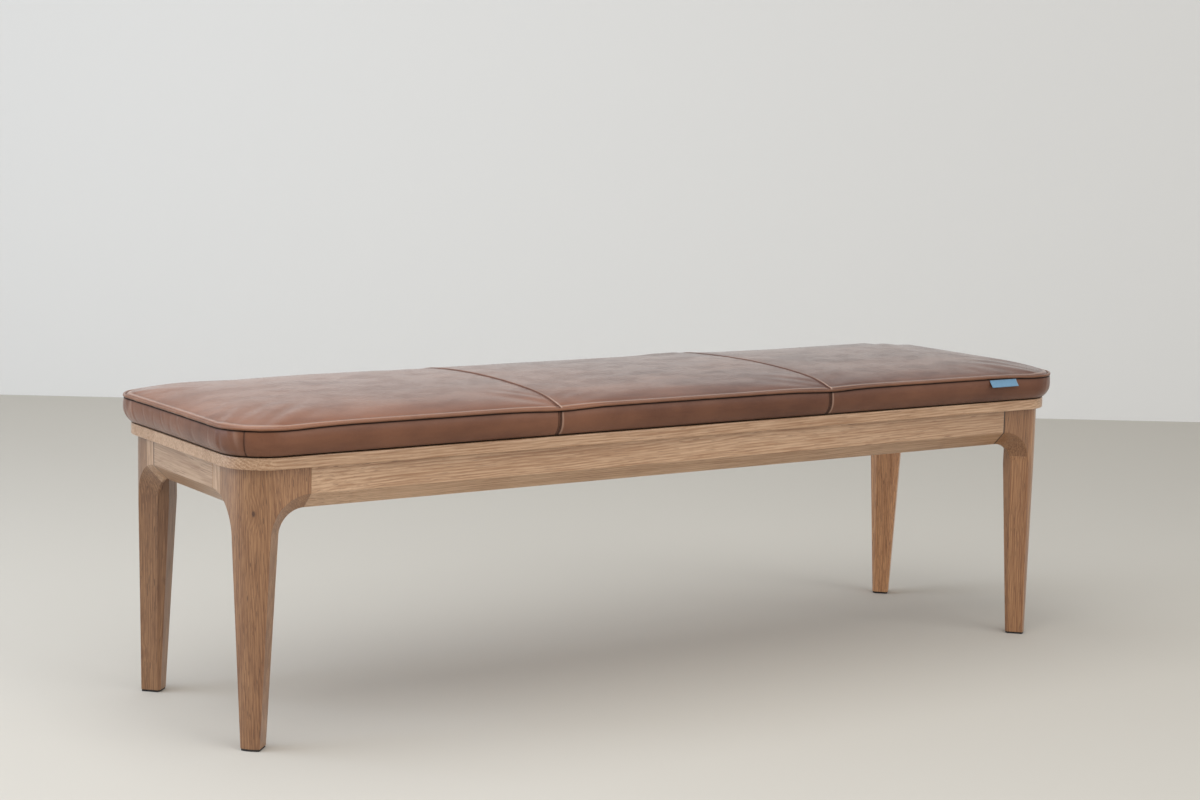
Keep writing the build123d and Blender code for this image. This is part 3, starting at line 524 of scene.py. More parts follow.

# %% [markdown]
# ## Leather
#
# Leather is skin, so nothing on it repeats: a pebbled grain of cells under a millimetre wide, clouds where
# the dye took deeper, and long strokes where the hide was stretched. Its wax is a thin clear coat that
# mirrors the pale room at a grazing angle. The group works in the space of the object, so panels of one
# hide differ by their place alone. Two values are written on the mesh: crease_shade is painted shade that
# darkens the leather where it dives into a seam, and rub_highlight makes it paler on a ridge, partly as
# wear and partly as a painted highlight. A slow gradient paints the hide darker away from the window, as
# painted shade.

# %% Hide group
def make_hide_group():
    """The pebbles, clouds and strokes of a hide."""
    inputs = {
        "Place": no_vector, "Light": black, "Dark": black, "Slope": 0.0,
        "Crease shade": 0.0, "Crease shade color": black, "Rub highlight": 0.0, "Rub highlight color": black,
    }
    tree, given, last = new_group("hide", inputs, figure_outputs)
    place = given["Place"]
    patch = ramp(cloud(place, (17.0, 22.0, 26.0), 4.0, 0.62), 0.34, 0.7)
    tone = total(
        times(ramp(cloud(place, (3.2, 5.5, 7.0), 3.0, 0.55), 0.3, 0.7), 0.5),
        # Painted shade: darker along X, away from the window
        times(ramp(axes_of(place)["X"], -0.75, 0.6, -0.16, 0.38), given["Slope"]),
        times(patch, 0.28),
        times(ramp(cloud(place, (5.0, 46.0, 60.0), 3.0, 0.6), 0.42, 0.72), 0.17),
        times(ramp(cloud(place, (420.0, 420.0, 420.0), 3.0, 0.7), 0.3, 0.75), 0.12),
    )
    cells = put(tree, "TexVoronoi", {"Vector": place, "Scale": 1150.0}, feature="DISTANCE_TO_EDGE")
    pebble = ramp(cells.outputs["Distance"], 0.02, 0.3)
    color = blend(tone, given["Light"], given["Dark"])
    color = blend(ramp(pebble, 1.0, 0.0, 0.0, 0.16), color, given["Dark"])
    # Paler ridges, part wear and part painted highlight, then painted shade where the leather dives into
    # seams
    color = blend(given["Rub highlight"], color, given["Rub highlight color"])
    color = blend(given["Crease shade"], color, given["Crease shade color"])
    rough = total(ramp(patch, 0.0, 1.0, 0.34, 0.44), ramp(pebble, 1.0, 0.0, 0.0, 0.12))
    height = total(times(pebble, 0.5), cloud(place, (150.0, 190.0, 190.0), 3.0, 0.6))
    fill(last, {"Color": color, "Roughness": total(rough, times(given["Crease shade"], 0.3)), "Height": height})
    return tree


hide_group = make_hide_group()
# Paler colour of ridges and wrinkle crests, part wear and part painted highlight
rub_highlight_color = shade(200, 166, 146)


def leather_finish(name, light, dark, gloss, sheen, shade_slope, seam=(40, 22, 15)):
    """Waxed leather with its own pair of browns; seam is the colour of its painted crease shade."""
    made, tree, shader, place = new_finish(name)
    # Painted crease shade, and paler ridges that are part wear and part painted highlight, as written on
    # the mesh
    crease_shade = put(tree, "Attribute", attribute_name="crease_shade").outputs["Fac"]
    rub_highlight = put(tree, "Attribute", attribute_name="rub_highlight").outputs["Fac"]
    inputs = {"Place": place, "Light": light, "Dark": dark, "Crease shade": crease_shade, "Crease shade color": shade(*seam)}
    inputs |= {"Rub highlight": rub_highlight, "Rub highlight color": rub_highlight_color, "Slope": shade_slope}
    hide = put(tree, "Group", inputs, node_tree=hide_group).outputs
    fill(shader, {
        "Base Color": hide["Color"],
        "Roughness": hide["Roughness"],
        "Normal": bump(hide["Height"], 0.3, 0.14 * mm),
        "Specular IOR Level": 0.12,
        "Sheen Weight": sheen,
        "Sheen Roughness": 0.4,
        "Coat IOR": 1.33,
        "Coat Weight": times(calc("SUBTRACT", 1.0, crease_shade), gloss),
        "Coat Roughness": times(hide["Roughness"], 0.6),
    })
    return made


# Colours of the painted shade in the seams and creases of the top and of the band
top_seam_shade, band_seam_shade = (70, 36, 24), (26, 14, 10)
leather_top = leather_finish("leather_top", shade(145, 95, 68), shade(90, 54, 39), 1.0, 0.1, 1.05, top_seam_shade)
leather_band = leather_finish(
    "leather_band", shade(132, 88, 65), shade(91, 56, 41), 0.6, 0.1, 0.25, band_seam_shade
)
leather_pipe = leather_finish("leather_piping", shade(142, 96, 70), shade(110, 72, 51), 0.8, 0.05, 0.5)
print("leather ready")

# %% [markdown]
# ## The pad's outline
#
# The pad follows the board: a rectangle with rounded corners, whose sides are drawn in a little because the
# leather is pulled tight. Every leather piece starts as a plain grid, and two small functions give it that
# outline: one rounds its corners, and one draws its sides in. The sizes are read from the solids, so the
# leather lies where the solid pad lies.

# %% Pad outline
board_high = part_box("seat_board")[1]
pipe_low, pipe_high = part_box("piping")
crown_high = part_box("centre_top_panel")[1]
half_x, half_y = board_high.x, board_high.y
board_corner = 67 * mm
side_draw = 2.5 * mm
end_draw = 1.2 * mm
side_run, end_run = half_x - board_corner, half_y - board_corner
seam_place = crown_high.x
pad_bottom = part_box("bottom_panel")[0].z
pipe_radius = (pipe_high.z - pipe_low.z) / 2
pipe_z = (pipe_high.z + pipe_low.z) / 2
pipe_grow = pipe_high.x - pipe_radius - half_x
lift_height = 2.8 * mm
lift_reach = 55 * mm


def unit(values):
    """Values kept between 0 and 1."""
    return np.clip(values, 0, 1)


def bell(off, reach):
    """1 at 0, with a soft fall on both sides over a reach."""
    return np.exp(-((off / reach) ** 2))


def fade(off, reach):
    """1 at 0, with a quick fall over a reach."""
    return np.exp(-off / reach)


def outline_place(x, y, grow):
    """Points of a rectangle grid given round corners, and their outward directions."""
    corner = board_corner + grow
    p = unit((np.abs(x) - side_run) / corner)
    q = unit((np.abs(y) - end_run) / corner)
    bent = (p > 0) & (q > 0)
    round_p, round_q = p * np.sqrt(1 - q * q / 2), q * np.sqrt(1 - p * p / 2)
    new_x = np.where(bent, np.sign(x) * (side_run + corner * round_p), x)
    new_y = np.where(bent, np.sign(y) * (end_run + corner * round_q), y)
    out_x = np.where(bent, round_p, p >= q) * np.sign(x)
    out_y = np.where(bent, round_q, p < q) * np.sign(y)
    length = np.maximum(np.hypot(out_x, out_y), 1e-9)
    return new_x, new_y, out_x / length, out_y / length


def draw_in(x, y):
    """Pulls the long sides and the ends in between the corners."""
    pull_x = end_draw * unit(1 - (y / end_run) ** 2)
    pull_y = side_draw * unit(1 - (x / side_run) ** 2)
    return x - pull_x * x / half_x, y - pull_y * y / half_y


def from_seam(x):
    """How far a place is from the nearest cross seam."""
    return np.abs(np.abs(x) - seam_place)


def rim_lift(x):
    """How much the pad's edge puffs up here, away from seams and corners."""
    gap = np.minimum(from_seam(x), np.clip(side_run - np.abs(x), 0, None))
    return lift_height * (1 - bell(gap, lift_reach))


print("pad outline", round(half_x, 4), round(half_y, 4), "piping grows", round(pipe_grow / mm, 2), "mm")

# %% [markdown]
# ## The crown
#
# Foam under leather rises fast from the long sides and slowly from the ends, so the height depends on the
# share of the way in from the rim. It is found by halving: a smaller outline is tried until it passes
# through the point. The rise is two curves in one, a quick one that is soon over and a slow one that goes
# on to the middle. Beside a cross seam the leather dips, and the right-hand panel is lapped over the left
# one as a rounded lip. Where a seam comes down to the piping, the spare leather is gathered in two furrows.
# Along the piping it dives into a groove, so the cord stands clear, and rolls up again into a soft ridge.

# %% Crown and seams
crown_end_run = 204 * mm
crown_quick_share = 0.484
crown_quick_reach = 26 * mm
halvings = 22
top_grow = pipe_grow - 0.6 * mm
rim_z = pipe_z + 0.4 * mm
crown_height = crown_high.z - rim_z
top_x, top_y = half_x + top_grow, half_y + top_grow
dip_depth, dip_reach = 0.8 * mm, 15 * mm
lip_height, lip_place, lip_width = 1.5 * mm, 2.2 * mm, 1.6 * mm
furrow_places = (-2.3 * mm, -5.0 * mm)
furrow_depth, furrow_width = 0.75 * mm, 0.9 * mm
gather_share, gather_least = 0.19, 0.1
lift_start, lift_share, puff_start = 0.3, 3.4, 0.05
groove_depth, groove_reach = 1.4 * mm, 1.9 * mm
roll_height, roll_place, roll_reach = 1.9 * mm, 5.0 * mm, 3.0 * mm
crease_place = 9.5 * mm
# Middle, reach both ways and height of each uneven place of the crown
puff_table = mm * np.array([
    (226, 186, 50, 44, 3.8),
    (-660, 178, 100, 60, -1.9),
    (455, 180, 115, 60, -1.5),
    (-430, -120, 90, 60, 0.8),
    (-755, 170, 45, 60, 1.2),
    (480, -130, 110, 50, -0.8),
])


def crown_share(x, y):
    """How far in from the rim a point lies, up to 1 where the crown is highest."""
    low, high = np.zeros_like(x), np.ones_like(x)
    rim_corner = board_corner + top_grow
    for _ in range(halvings):
        middle = (low + high) / 2
        reach_x, reach_y = top_x - crown_end_run * middle, top_y * (1 - middle)
        corner = np.minimum(rim_corner + (reach_y - rim_corner) * middle, reach_y)
        past_x = np.maximum(np.abs(x) - (reach_x - corner), 0)
        past_y = np.maximum(np.abs(y) - (reach_y - corner), 0)
        inside = np.hypot(past_x, past_y) < corner
        low, high = np.where(inside, middle, low), np.where(inside, high, middle)
    return low


def top_height(x, y):
    """The height of the crown with its puffed edge and uneven places, and the share of the way in."""
    share = crown_share(x, y)
    off_rim = share * top_y
    quick, slow = 1 - fade(off_rim, crown_quick_reach), 1 - (1 - share) ** 2
    height = rim_z + crown_height * (crown_quick_share * quick + (1 - crown_quick_share) * slow)
    along_side = unit((np.abs(y) - end_run * lift_start) / (half_y - end_run * lift_start))
    height = height + rim_lift(x) * unit(1 - share * lift_share) ** 2 * along_side
    for middle_x, middle_y, reach_x, reach_y, rise in puff_table:
        puff = bell(x - middle_x, reach_x) * bell(y - middle_y, reach_y)
        height = height + rise * puff * unit(share / puff_start)
    height = height - groove_depth * bell(off_rim, groove_reach)
    return height + roll_height * bell(off_rim - roll_place, roll_reach), share


def seam_dip(gap):
    """How the leather dips on both sides of a cross seam."""
    return -dip_depth * bell(gap, dip_reach)


def seam_furrows(gap):
    """How deep in a gathered furrow left of a seam a point lies."""
    return sum(bell(gap - place, furrow_width) for place in furrow_places)


def seam_ridge(gap):
    """How far up the lapped ridge right of a seam a point lies."""
    return bell(gap - lip_place, lip_width) * (gap > 0)


def gather(share):
    """How much the leather beside a seam is gathered: most at the piping."""
    return gather_least + (1 - gather_least) * bell(share, gather_share)


print("crown rises", round(crown_height / mm, 1), "mm over the rim")

# %% [markdown]
# ## Letting the leather swell
#
# A drawn surface looks drawn. Leather over foam puffs between its seams and buckles where it is slack. So
# plain grids of cloth, one for the top and one for the band, are blown up from inside with their seams held
# still, cut too large at the ends, where the pad is wrinkled. The result isn't used as it is: how far each
# point moved is kept, limited to a few millimetres, and added to the finer meshes below. The broad part of
# the top's rise is taken off again, because the crown already has it.

# %% Simulation grid
sim_pitch = 7 * mm
sim_frames = 20
top_limit, band_limit = 2.6 * mm, 1.8 * mm
top_pressure, band_pressure = 1.2, 1.5
slack_base, seam_slack, rim_slack = 0.25, 0.75, 0.4
seam_slack_reach, rim_slack_reach = 50 * mm, 0.03
inner_gap, inner_share = 30 * mm, 0.1
seam_hold, corner_hold, band_slack = 0.9, 0.6, 0.3
band_top_z = pipe_z - 3.2 * mm
band_tall = band_top_z - pad_bottom
band_full_share = 0.66
foot_grow, full_grow, head_grow = 1.0 * mm, 12 * mm, 10.7 * mm
band_rows = 7
long_x, long_y = half_x + full_grow, half_y + full_grow
ring_length = 4 * (long_x + long_y)
cloth_settings = dict(
    quality=6, mass=0.25, air_damping=1.5, use_pressure=True, vertex_group_mass="held", pin_stiffness=1.0,
    tension_stiffness=18, compression_stiffness=18, shear_stiffness=6, bending_stiffness=0.35,
    vertex_group_shrink="slack", shrink_min=0.0, shrink_max=-0.03,
)


def grow_at(share):
    """How far the band stands out past the board, narrow below and full above the middle."""
    below = unit(1 - share / band_full_share)
    above = unit((share - band_full_share) / (1 - band_full_share))
    return full_grow - (full_grow - foot_grow) * below**2.6 - (full_grow - head_grow) * above**2


def ring_rectangle(distance):
    """Points of the plain rectangle, walking round it from its front left corner."""
    stops = np.cumsum([0, 2 * long_x, 2 * long_y, 2 * long_x, 2 * long_y])
    x = np.interp(distance % stops[-1], stops, [-long_x, long_x, long_x, -long_x, -long_x])
    y = np.interp(distance % stops[-1], stops, [-long_y, -long_y, long_y, long_y, -long_y])
    return x, y


def ring_place(distance, grow):
    """Points this far round the rim and out past the board, and their outward directions."""
    base_x, base_y, out_x, out_y = outline_place(*ring_rectangle(distance), full_grow)
    base_x, base_y = draw_in(base_x, base_y)
    step = grow - full_grow
    return base_x + out_x * step, base_y + out_y * step, out_x, out_y


def band_z(x, y, share):
    """The band's height at a share of it, which follows the puffed edge."""
    return pad_bottom + band_tall * share + rim_lift(x) * (np.abs(y) > end_run) * share


columns, rows = int(2 * top_x / sim_pitch), int(2 * top_y / sim_pitch)
ring_distance = np.linspace(0, ring_length, int(ring_length / sim_pitch), endpoint=False)
band_count = len(ring_distance)


def simulate(name, points, faces, held, slack, pressure):
    """Blows up a mesh as cloth, and says how far each of its points moved."""
    made = add_object(name, new_mesh(name, points, faces))
    for label, weights in (("held", held), ("slack", slack)):
        group = made.vertex_groups.new(name=label)
        for index, weight in enumerate(weights.ravel()):
            if weight > 0:
                group.add([index], float(weight), "REPLACE")
    cloth = made.modifiers.new("cloth", "CLOTH")
    set_all(cloth.settings, **cloth_settings, uniform_pressure_force=pressure)
    cloth.settings.effector_weights.gravity = 0
    cloth.collision_settings.use_collision = False
    set_all(cloth.point_cache, frame_start=1, frame_end=sim_frames)
    for number in range(1, sim_frames + 1):
        bpy.context.scene.frame_set(number)
    settled = made.evaluated_get(bpy.context.evaluated_depsgraph_get())
    moved = np.array([v.co for v in settled.data.vertices]).reshape(points.shape) - points
    bpy.data.meshes.remove(made.data)
    bpy.context.scene.frame_set(1)
    return moved


def grid_faces(count_rows, count_columns, round_rows=False, round_columns=False):
    """Quads of a grid, row by row, which may close round either way."""
    faces = []
    for row in range(count_rows - (not round_rows)):
        low, high = row * count_columns, (row + 1) % count_rows * count_columns
        for column in range(count_columns - (not round_columns)):
            following = (column + 1) % count_columns
            faces.append((low + column, low + following, high + following, high + column))
    return faces


def blurred(field, reach):
    """A field averaged over a square around each of its points."""
    wide = np.pad(field, reach, mode="edge")
    steps = range(-reach, reach + 1)
    summed = sum(np.roll(wide, (down, across), (0, 1)) for down in steps for across in steps)
    return summed[reach:-reach, reach:-reach] / len(steps) ** 2


def limit(moved, most):
    """Shortens long moves and leaves short ones nearly as they are."""
    length = np.maximum(np.linalg.norm(moved, axis=-1, keepdims=True), 1e-9)
    return moved * most * np.tanh(length / most) / length


print("simulation grids of", (rows + 1) * (columns + 1), "and", band_rows * band_count, "points")

# %% Swell the top
top_moved = np.zeros((rows + 1, columns + 1, 3))
blur_reach = 6
plain = np.meshgrid(np.linspace(-top_x, top_x, columns + 1), np.linspace(-top_y, top_y, rows + 1))
place_x, place_y, _, _ = outline_place(*plain, top_grow)
height, share = top_height(place_x, place_y)
near = from_seam(place_x)
points = np.stack([*draw_in(place_x, place_y), height + seam_dip(near)], -1)
held = unit(1 - near / sim_pitch) > 0.5
held[[0, -1], :] = held[:, [0, -1]] = True
slack = slack_base + seam_slack * fade(near, seam_slack_reach)
slack = unit(slack + rim_slack * fade(share, rim_slack_reach))
faces = grid_faces(rows + 1, columns + 1)
moved = simulate("top_cloth", points, faces, held * 1.0, slack, top_pressure)
top_moved = limit(moved, top_limit)
inner = unit(near / inner_gap) * unit(share / inner_share)
top_moved[..., 2] -= inner * blurred(top_moved[..., 2], blur_reach)
print("top moved up to", round(float(np.abs(top_moved).max()) / mm, 2), "mm")

# %% Swell the band
band_moved = np.zeros((band_rows, band_count, 3))
grid = []
for share in np.linspace(0, 1, band_rows):
    x, y, _, _ = ring_place(ring_distance, grow_at(share))
    grid.append(np.stack([x, y, band_z(x, y, share)], -1))
x, y = ring_rectangle(ring_distance)
held = np.zeros((band_rows, band_count))
held[[0, -1], :] = 1.0
held[:, (from_seam(x) < sim_pitch / 2) & (y < 0)] = seam_hold
held[:, (np.abs(x) > half_x) & (np.abs(y) > half_y)] = corner_hold
slack = np.broadcast_to(np.where(np.abs(x) > side_run, 1.0, band_slack), held.shape)
faces = grid_faces(band_rows, band_count, round_columns=True)
moved = simulate("band_cloth", np.array(grid), faces, held, slack, band_pressure)
band_moved = limit(moved, band_limit)
print("band moved up to", round(float(np.abs(band_moved).max()) / mm, 2), "mm")


def sample_grid(field, row_places, column_places):
    """A field between its grid points, at places counted in rows and columns."""
    row = np.clip(row_places, 0, field.shape[0] - 1.001)
    column = np.clip(column_places, 0, field.shape[1] - 1.001)
    low, left = row.astype(int), column.astype(int)
    row_part, column_part = (row - low)[..., None], (column - left)[..., None]
    upper = field[low, left] * (1 - column_part) + field[low, left + 1] * column_part
    lower = field[low + 1, left] * (1 - column_part) + field[low + 1, left + 1] * column_part
    return upper * (1 - row_part) + lower * row_part


def top_swell(x, y):
    """How far the swelling moves the top at such a point."""
    return sample_grid(top_moved, (y + top_y) / (2 * top_y) * rows, (x + top_x) / (2 * top_x) * columns)


def band_swell(distance, share):
    """How far the swelling moves the band at such a place."""
    wrapped = np.concatenate([band_moved, band_moved[:, :2]], axis=1)
    place = (distance % ring_length) / ring_length * band_count
    return sample_grid(wrapped, np.full_like(distance, share) * (band_rows - 1), place)


# %% [markdown]
# ## Sheets of leather
#
# Each panel is a grid of points turned into a mesh, with the thickness of leather on its inner side and one
# level of subdivision. Its outer rows are tucked down beside the piping or into a seam, because leather
# never ends where it seems to end. The painted crease shade on the tucked points is what makes the seams
# read dark.

# %% Sheet helpers
leather_thick = 1.1 * mm
panel_pitch = 6.5 * mm
seam_steps = np.array([0.05, 0.35, 0.8, 1.5, 2.3, 3.4, 5.0, 6.2, 7.5, 8.8, 11, 15, 20]) * mm
rim_steps = np.array([0.0, 0.7, 1.4, 2.2, 3.2, 4.3, 5.6, 7.2, 9.3, 12.0, 15.5, 19.0]) * mm
tuck_in, tuck_down, seam_tuck_down = np.array([(0, 0.9, 2.6), (0, 2.0, 3.0), (0, 1.6, 2.6)]) * mm


def write_values(mesh, label, values):
    """Writes a number on each point of a mesh, for its finish to read."""
    written = mesh.attributes.new(label, "FLOAT", "POINT")
    written.data.foreach_set("value", unit(values).ravel().astype(np.float32))


def pad_piece(mesh, finish, replaced=None, thick=None, levels=0):
    """A smooth piece that rides on the pad, in place of a solid where one is named."""
    mesh.materials.append(finish)
    mesh.shade_smooth()
    made = add_object(mesh.name, mesh)
    if thick:
        set_all(made.modifiers.new("thickness", "SOLIDIFY"), thickness=thick, offset=-1)
    if levels:
        set_all(made.modifiers.new("smooth", "SUBSURF"), levels=levels, render_levels=levels)
    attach(made, "seat_pad")
    if replaced:
        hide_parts(replaced)
    return made


def leather_sheet(name, grids, finish, slot, replaced):
    """A panel of leather from grids of points, painted crease shade and paler ridges, declared as padded.
    """
    points, crease_shade, rub_highlight = grids
    mesh = new_mesh(name, points, grid_faces(*points.shape[:2]))
    write_values(mesh, "crease_shade", crease_shade)
    write_values(mesh, "rub_highlight", rub_highlight)
    made = pad_piece(mesh, finish, replaced, leather_thick, levels=1)
    return made


def padded_row(low, high, low_steps, high_steps, margin, pitch, low_kind, high_kind):
    """A row of places, close at its ends and two deep in the tuck, how deep each is, and into what."""
    start, stop = low + low_steps[-1] + margin, high - high_steps[-1] - margin
    middle = np.linspace(start, stop, max(2, int(round((stop - start) / pitch)) + 1))
    values = np.concatenate([low + low_steps, middle, high - high_steps[::-1]])
    levels = np.array([2, 1] + [0] * len(values) + [1, 2])
    kinds = np.array([low_kind] * 2 + ["none"] * len(values) + [high_kind] * 2)
    return np.pad(values, 2, mode="edge"), levels, kinds


print("sheets take", len(seam_steps), "steps in from a seam and", len(rim_steps), "from the rim")

# %% Puckers
random_seed = 7
ripple_count = 46
pucker_margin = 6 * mm
random.seed(random_seed)


def draws(*ranges):
    """A random number from each range, in the order they are given."""
    return [random.uniform(*ends) for ends in ranges]


# Share of the way across, reach, width and height of each pucker
pucker_ranges = ((-1, 1), (7 * mm, 15 * mm), (2.2 * mm, 4.5 * mm), (-0.45 * mm, 0.45 * mm))
pucker_table = [
    (side * seam_place, *draws(*pucker_ranges)) for side in (-1, 1) for _ in range(ripple_count)
]


def puckers(x, y):
    """Small ripples that run into the cross seams."""
    rise = np.zeros_like(x)
    for seam, across, reach, width, height in pucker_table:
        along = bell(y - across * (half_y - pucker_margin), width) * fade(np.abs(x - seam), reach)
        rise += np.where(x < seam, 1.0, 0.5) * height * along
    return rise


print(len(pucker_table), "puckers")

# %% Top panels
panel_table = [
    ("left", -top_x, -seam_place, "rim", "seam"),
    ("centre", -seam_place, seam_place, "seam", "seam"),
    ("right", seam_place, top_x, "seam", "rim"),
]
edge_steps = {"rim": rim_steps, "seam": seam_steps}
panel_spacing = (5 * mm, panel_pitch)
relief_start = 0.005
# How much painted shade darkens the leather at each of these, how much paler the roll is painted as wear
# and painted highlight, and how wide that is
seam_line_shade, gather_shade, furrow_shade, tuck_shade = 0.42, 0.4, 0.65, 0.7
groove_shade, crease_line_shade, roll_rub_highlight = 0.75, 0.22, 0.4
seam_width, crease_width, roll_rub_highlight_reach = 1.4 * mm, 1.6 * mm, 1.8 * mm


def top_surface(x, y, gap):
    """Points of the finished top, this far from a seam, with their outward directions and shares."""
    place_x, place_y, out_x, out_y = outline_place(x, y, top_grow)
    height, share = top_height(place_x, place_y)
    relief = lip_height * seam_ridge(gap) - furrow_depth * seam_furrows(gap) * gather(share) + puckers(x, y)
    height = height + seam_dip(gap) + relief * unit(share / relief_start)
    points = np.stack([*draw_in(place_x, place_y), height], -1) + top_swell(x, y)
    return points, np.stack([out_x, out_y], -1), share


def top_panel(left, right, left_kind, right_kind):
    """Points, painted crease shade and paler ridges (wear and painted highlight) of one top panel."""
    kinds = (left_kind, right_kind)
    all_x, level_x, kind_x = padded_row(left, right, *map(edge_steps.get, kinds), *panel_spacing, *kinds)
    all_y, level_y, _ = padded_row(-top_y, top_y, rim_steps, rim_steps, *panel_spacing, "rim", "rim")
    x, y = np.meshgrid(all_x, all_y)
    seam_level = np.broadcast_to(np.where(kind_x == "seam", level_x, 0), x.shape)
    rim_level = np.maximum(np.where(kind_x == "rim", level_x, 0)[None, :], level_y[:, None])
    gap = np.where(x > 0, x - seam_place, x + seam_place)
    points, out, share = top_surface(x, y, gap)
    points[..., :2] -= out * tuck_in[rim_level][..., None]
    points[..., 2] -= tuck_down[rim_level] + seam_tuck_down[seam_level]
    off_rim = share * top_y
    # Painted shade in the seam and its furrows, in the groove and the crease by the piping, and on tucked
    # points; the lip and the roll are painted paler, part wear and part painted highlight
    crease_shade = bell(gap, seam_width) * (seam_line_shade + gather_shade * gather(share))
    crease_shade = crease_shade + furrow_shade * seam_furrows(gap) * gather(share)
    crease_shade = crease_shade + groove_shade * bell(off_rim, groove_reach)
    crease_shade = crease_shade + crease_line_shade * bell(off_rim - crease_place, crease_width)
    crease_shade = crease_shade + tuck_shade * (seam_level > 0) + (rim_level > 0)
    rub_highlight = seam_ridge(gap) * gather(share) + roll_rub_highlight * bell(off_rim - roll_place, roll_rub_highlight_reach)
    return points, crease_shade, rub_highlight


for side, *ends in panel_table:
    names = "leather_top", f"{side}_top_panel"
    piece = leather_sheet(f"{side}_top_leather", top_panel(*ends), leather_top, *names)
    print(piece.name, "has", len(piece.data.polygons), "faces")

# %% [markdown]
# ## The band
#
# The band is six strips sewn end to end: three along the front, meeting under the cross seams, one round
# each end, and one along the back with the zip. It curls in under the piping, which leaves the dark line
# that runs all round the pad, deepened with painted shade, and turns under at the foot, which is painted
# darker too. Painted shade also darkens each strip at both its ends, where it dives into a seam. Round the
# ends the leather is wrinkled from top to bottom, and the wrinkles' crests are painted paler, part wear and
# part painted highlight.

# %% Band places
zip_low, zip_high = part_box("zip_tape")
zip_half = zip_high.x
zip_share = ((zip_low.z + zip_high.z) / 2 - pad_bottom) / band_tall
front_seams = (long_x - seam_place, long_x + seam_place)
near_right = 2 * long_x
far_right = near_right + 2 * long_y
far_left = far_right + 2 * long_x
end_pitch = 2.4 * mm
strip_table = [
    ("left_front", 0.0, front_seams[0], "plain", "sewn", panel_pitch),
    ("centre_front", front_seams[0], front_seams[1], "sewn", "sewn", panel_pitch),
    ("right_front", front_seams[1], near_right, "sewn", "plain", panel_pitch),
    ("right_end", near_right, far_right, "plain", "plain", end_pitch),
    ("back", far_right, far_left, "plain", "plain", panel_pitch),
    ("left_end", far_left, ring_length, "plain", "plain", end_pitch),
]
foot_tucks = np.array([(3.5, 0.5), (1.2, 0.15)]) * mm
head_tucks = np.array([(1.0, 0.9), (2.4, 1.3), (4.2, 1.4)]) * mm
plain_shares = (
    0.0, 0.03, 0.08, 0.15, 0.23, 0.32, 0.41, 0.5, 0.57,
    0.62, 0.66, 0.7, 0.75, 0.82, 0.89, 0.95, 1.0,
)
# Share of the height, and how far in and up the leather is tucked there
band_levels = [(0.0, *tuck) for tuck in foot_tucks]
band_levels += [(share, 0.0, 0.0) for share in plain_shares]
band_levels += [(1.0, *tuck) for tuck in head_tucks]
wrinkle_reach = long_y + 45 * mm
# Share of the way round, width, lean, height and share of the band's height of each wrinkle
wrinkle_ranges = ((-1, 1), (1.6 * mm, 6.0 * mm), (-16 * mm, 8 * mm), (-0.75 * mm, 0.5 * mm), (0.3, 0.95))
end_middles = (near_right + long_y, far_left + long_y)
wrinkle_table = [(middle, *draws(*wrinkle_ranges)) for middle in end_middles for _ in range(ripple_count)]


def wrinkles(distance, share):
    """Upright wrinkles round the ends of the pad."""
    rise = np.zeros_like(distance)
    for middle, around, width, lean, height, middle_share in wrinkle_table:
        place = middle + around * wrinkle_reach + lean * (share - 0.5)
        off = (distance - place + ring_length / 2) % ring_length - ring_length / 2
        rise += height * bell(share - middle_share, 0.4) * bell(off, width)
    return rise


print(len(band_levels), "rows of points in the band,", len(wrinkle_table), "wrinkles")

# %% Band strips
zip_groove = 1.8 * mm
zip_groove_half = 3.4 * mm
zip_groove_end = 4 * mm
edge_width, edge_depth = 0.9 * mm, 0.75 * mm
ridge_height = 1.0 * mm
tucked_relief = 0.3
# Painted shade at the strips' ends, in the furrows, under the piping and at the foot, and paler paint on
# ridges and wrinkles, part wear and part painted highlight
edge_shade, strip_furrow_shade = 0.9, 0.8
head_shade, head_shade_reach, foot_shade, foot_shade_reach = 0.9, 0.022, 0.4, 0.04
ridge_rub_highlight, wrinkle_rub_highlight, wrinkle_full = 0.5, 0.2, 0.5 * mm
band_steps, band_margin = seam_steps[:-2], 4 * mm


def band_strip(start, stop, start_kind, stop_kind, pitch, with_zip):
    """Points, painted crease shade and paler ridges (wear and painted highlight) of one strip of the band.
    """
    kinds = (start_kind, stop_kind)
    distance, level, _ = padded_row(start, stop, band_steps, band_steps, band_margin, pitch, *kinds)
    ridge = seam_ridge(distance - start) * (start_kind == "sewn")
    furrows = seam_furrows(distance - stop) * (stop_kind == "sewn")
    # Painted shade where the strip dives into its seams; the same mask also sinks the leather there
    edge = edge_shade * fade(distance - start, edge_width) + edge_shade * fade(stop - distance, edge_width)
    zip_span = unit((zip_half + zip_groove_end - np.abs(ring_rectangle(distance)[0])) / zip_groove_end)
    grid, folds, rub_highlights = [], [], []
    for share, inward, upward in band_levels:
        tucked = inward > 0
        wrinkled = wrinkles(distance, share)
        relief = ridge_height * ridge - furrow_depth * furrows - edge_depth * edge + wrinkled
        relief = relief * (tucked_relief if tucked else 1.0)
        if with_zip:
            off = (share - zip_share) * band_tall
            relief = relief - zip_groove * zip_span * np.exp(-((off / zip_groove_half) ** 4))
        x, y, _, _ = ring_place(distance, grow_at(share) - inward + relief - tuck_in[level])
        grid.append(np.stack([x, y, band_z(x, y, share) + upward], -1) + band_swell(distance, share))
        # Painted shade under the piping and at the foot
        shadow = head_shade * fade(1 - share, head_shade_reach) + foot_shade * fade(share, foot_shade_reach)
        folds.append(edge + (level > 0) + strip_furrow_shade * furrows + shadow + tucked)
        rub_highlights.append(np.maximum(ridge_rub_highlight * ridge, wrinkle_rub_highlight * unit(wrinkled / wrinkle_full)))
    return np.array(grid), np.array(folds), np.array(rub_highlights)


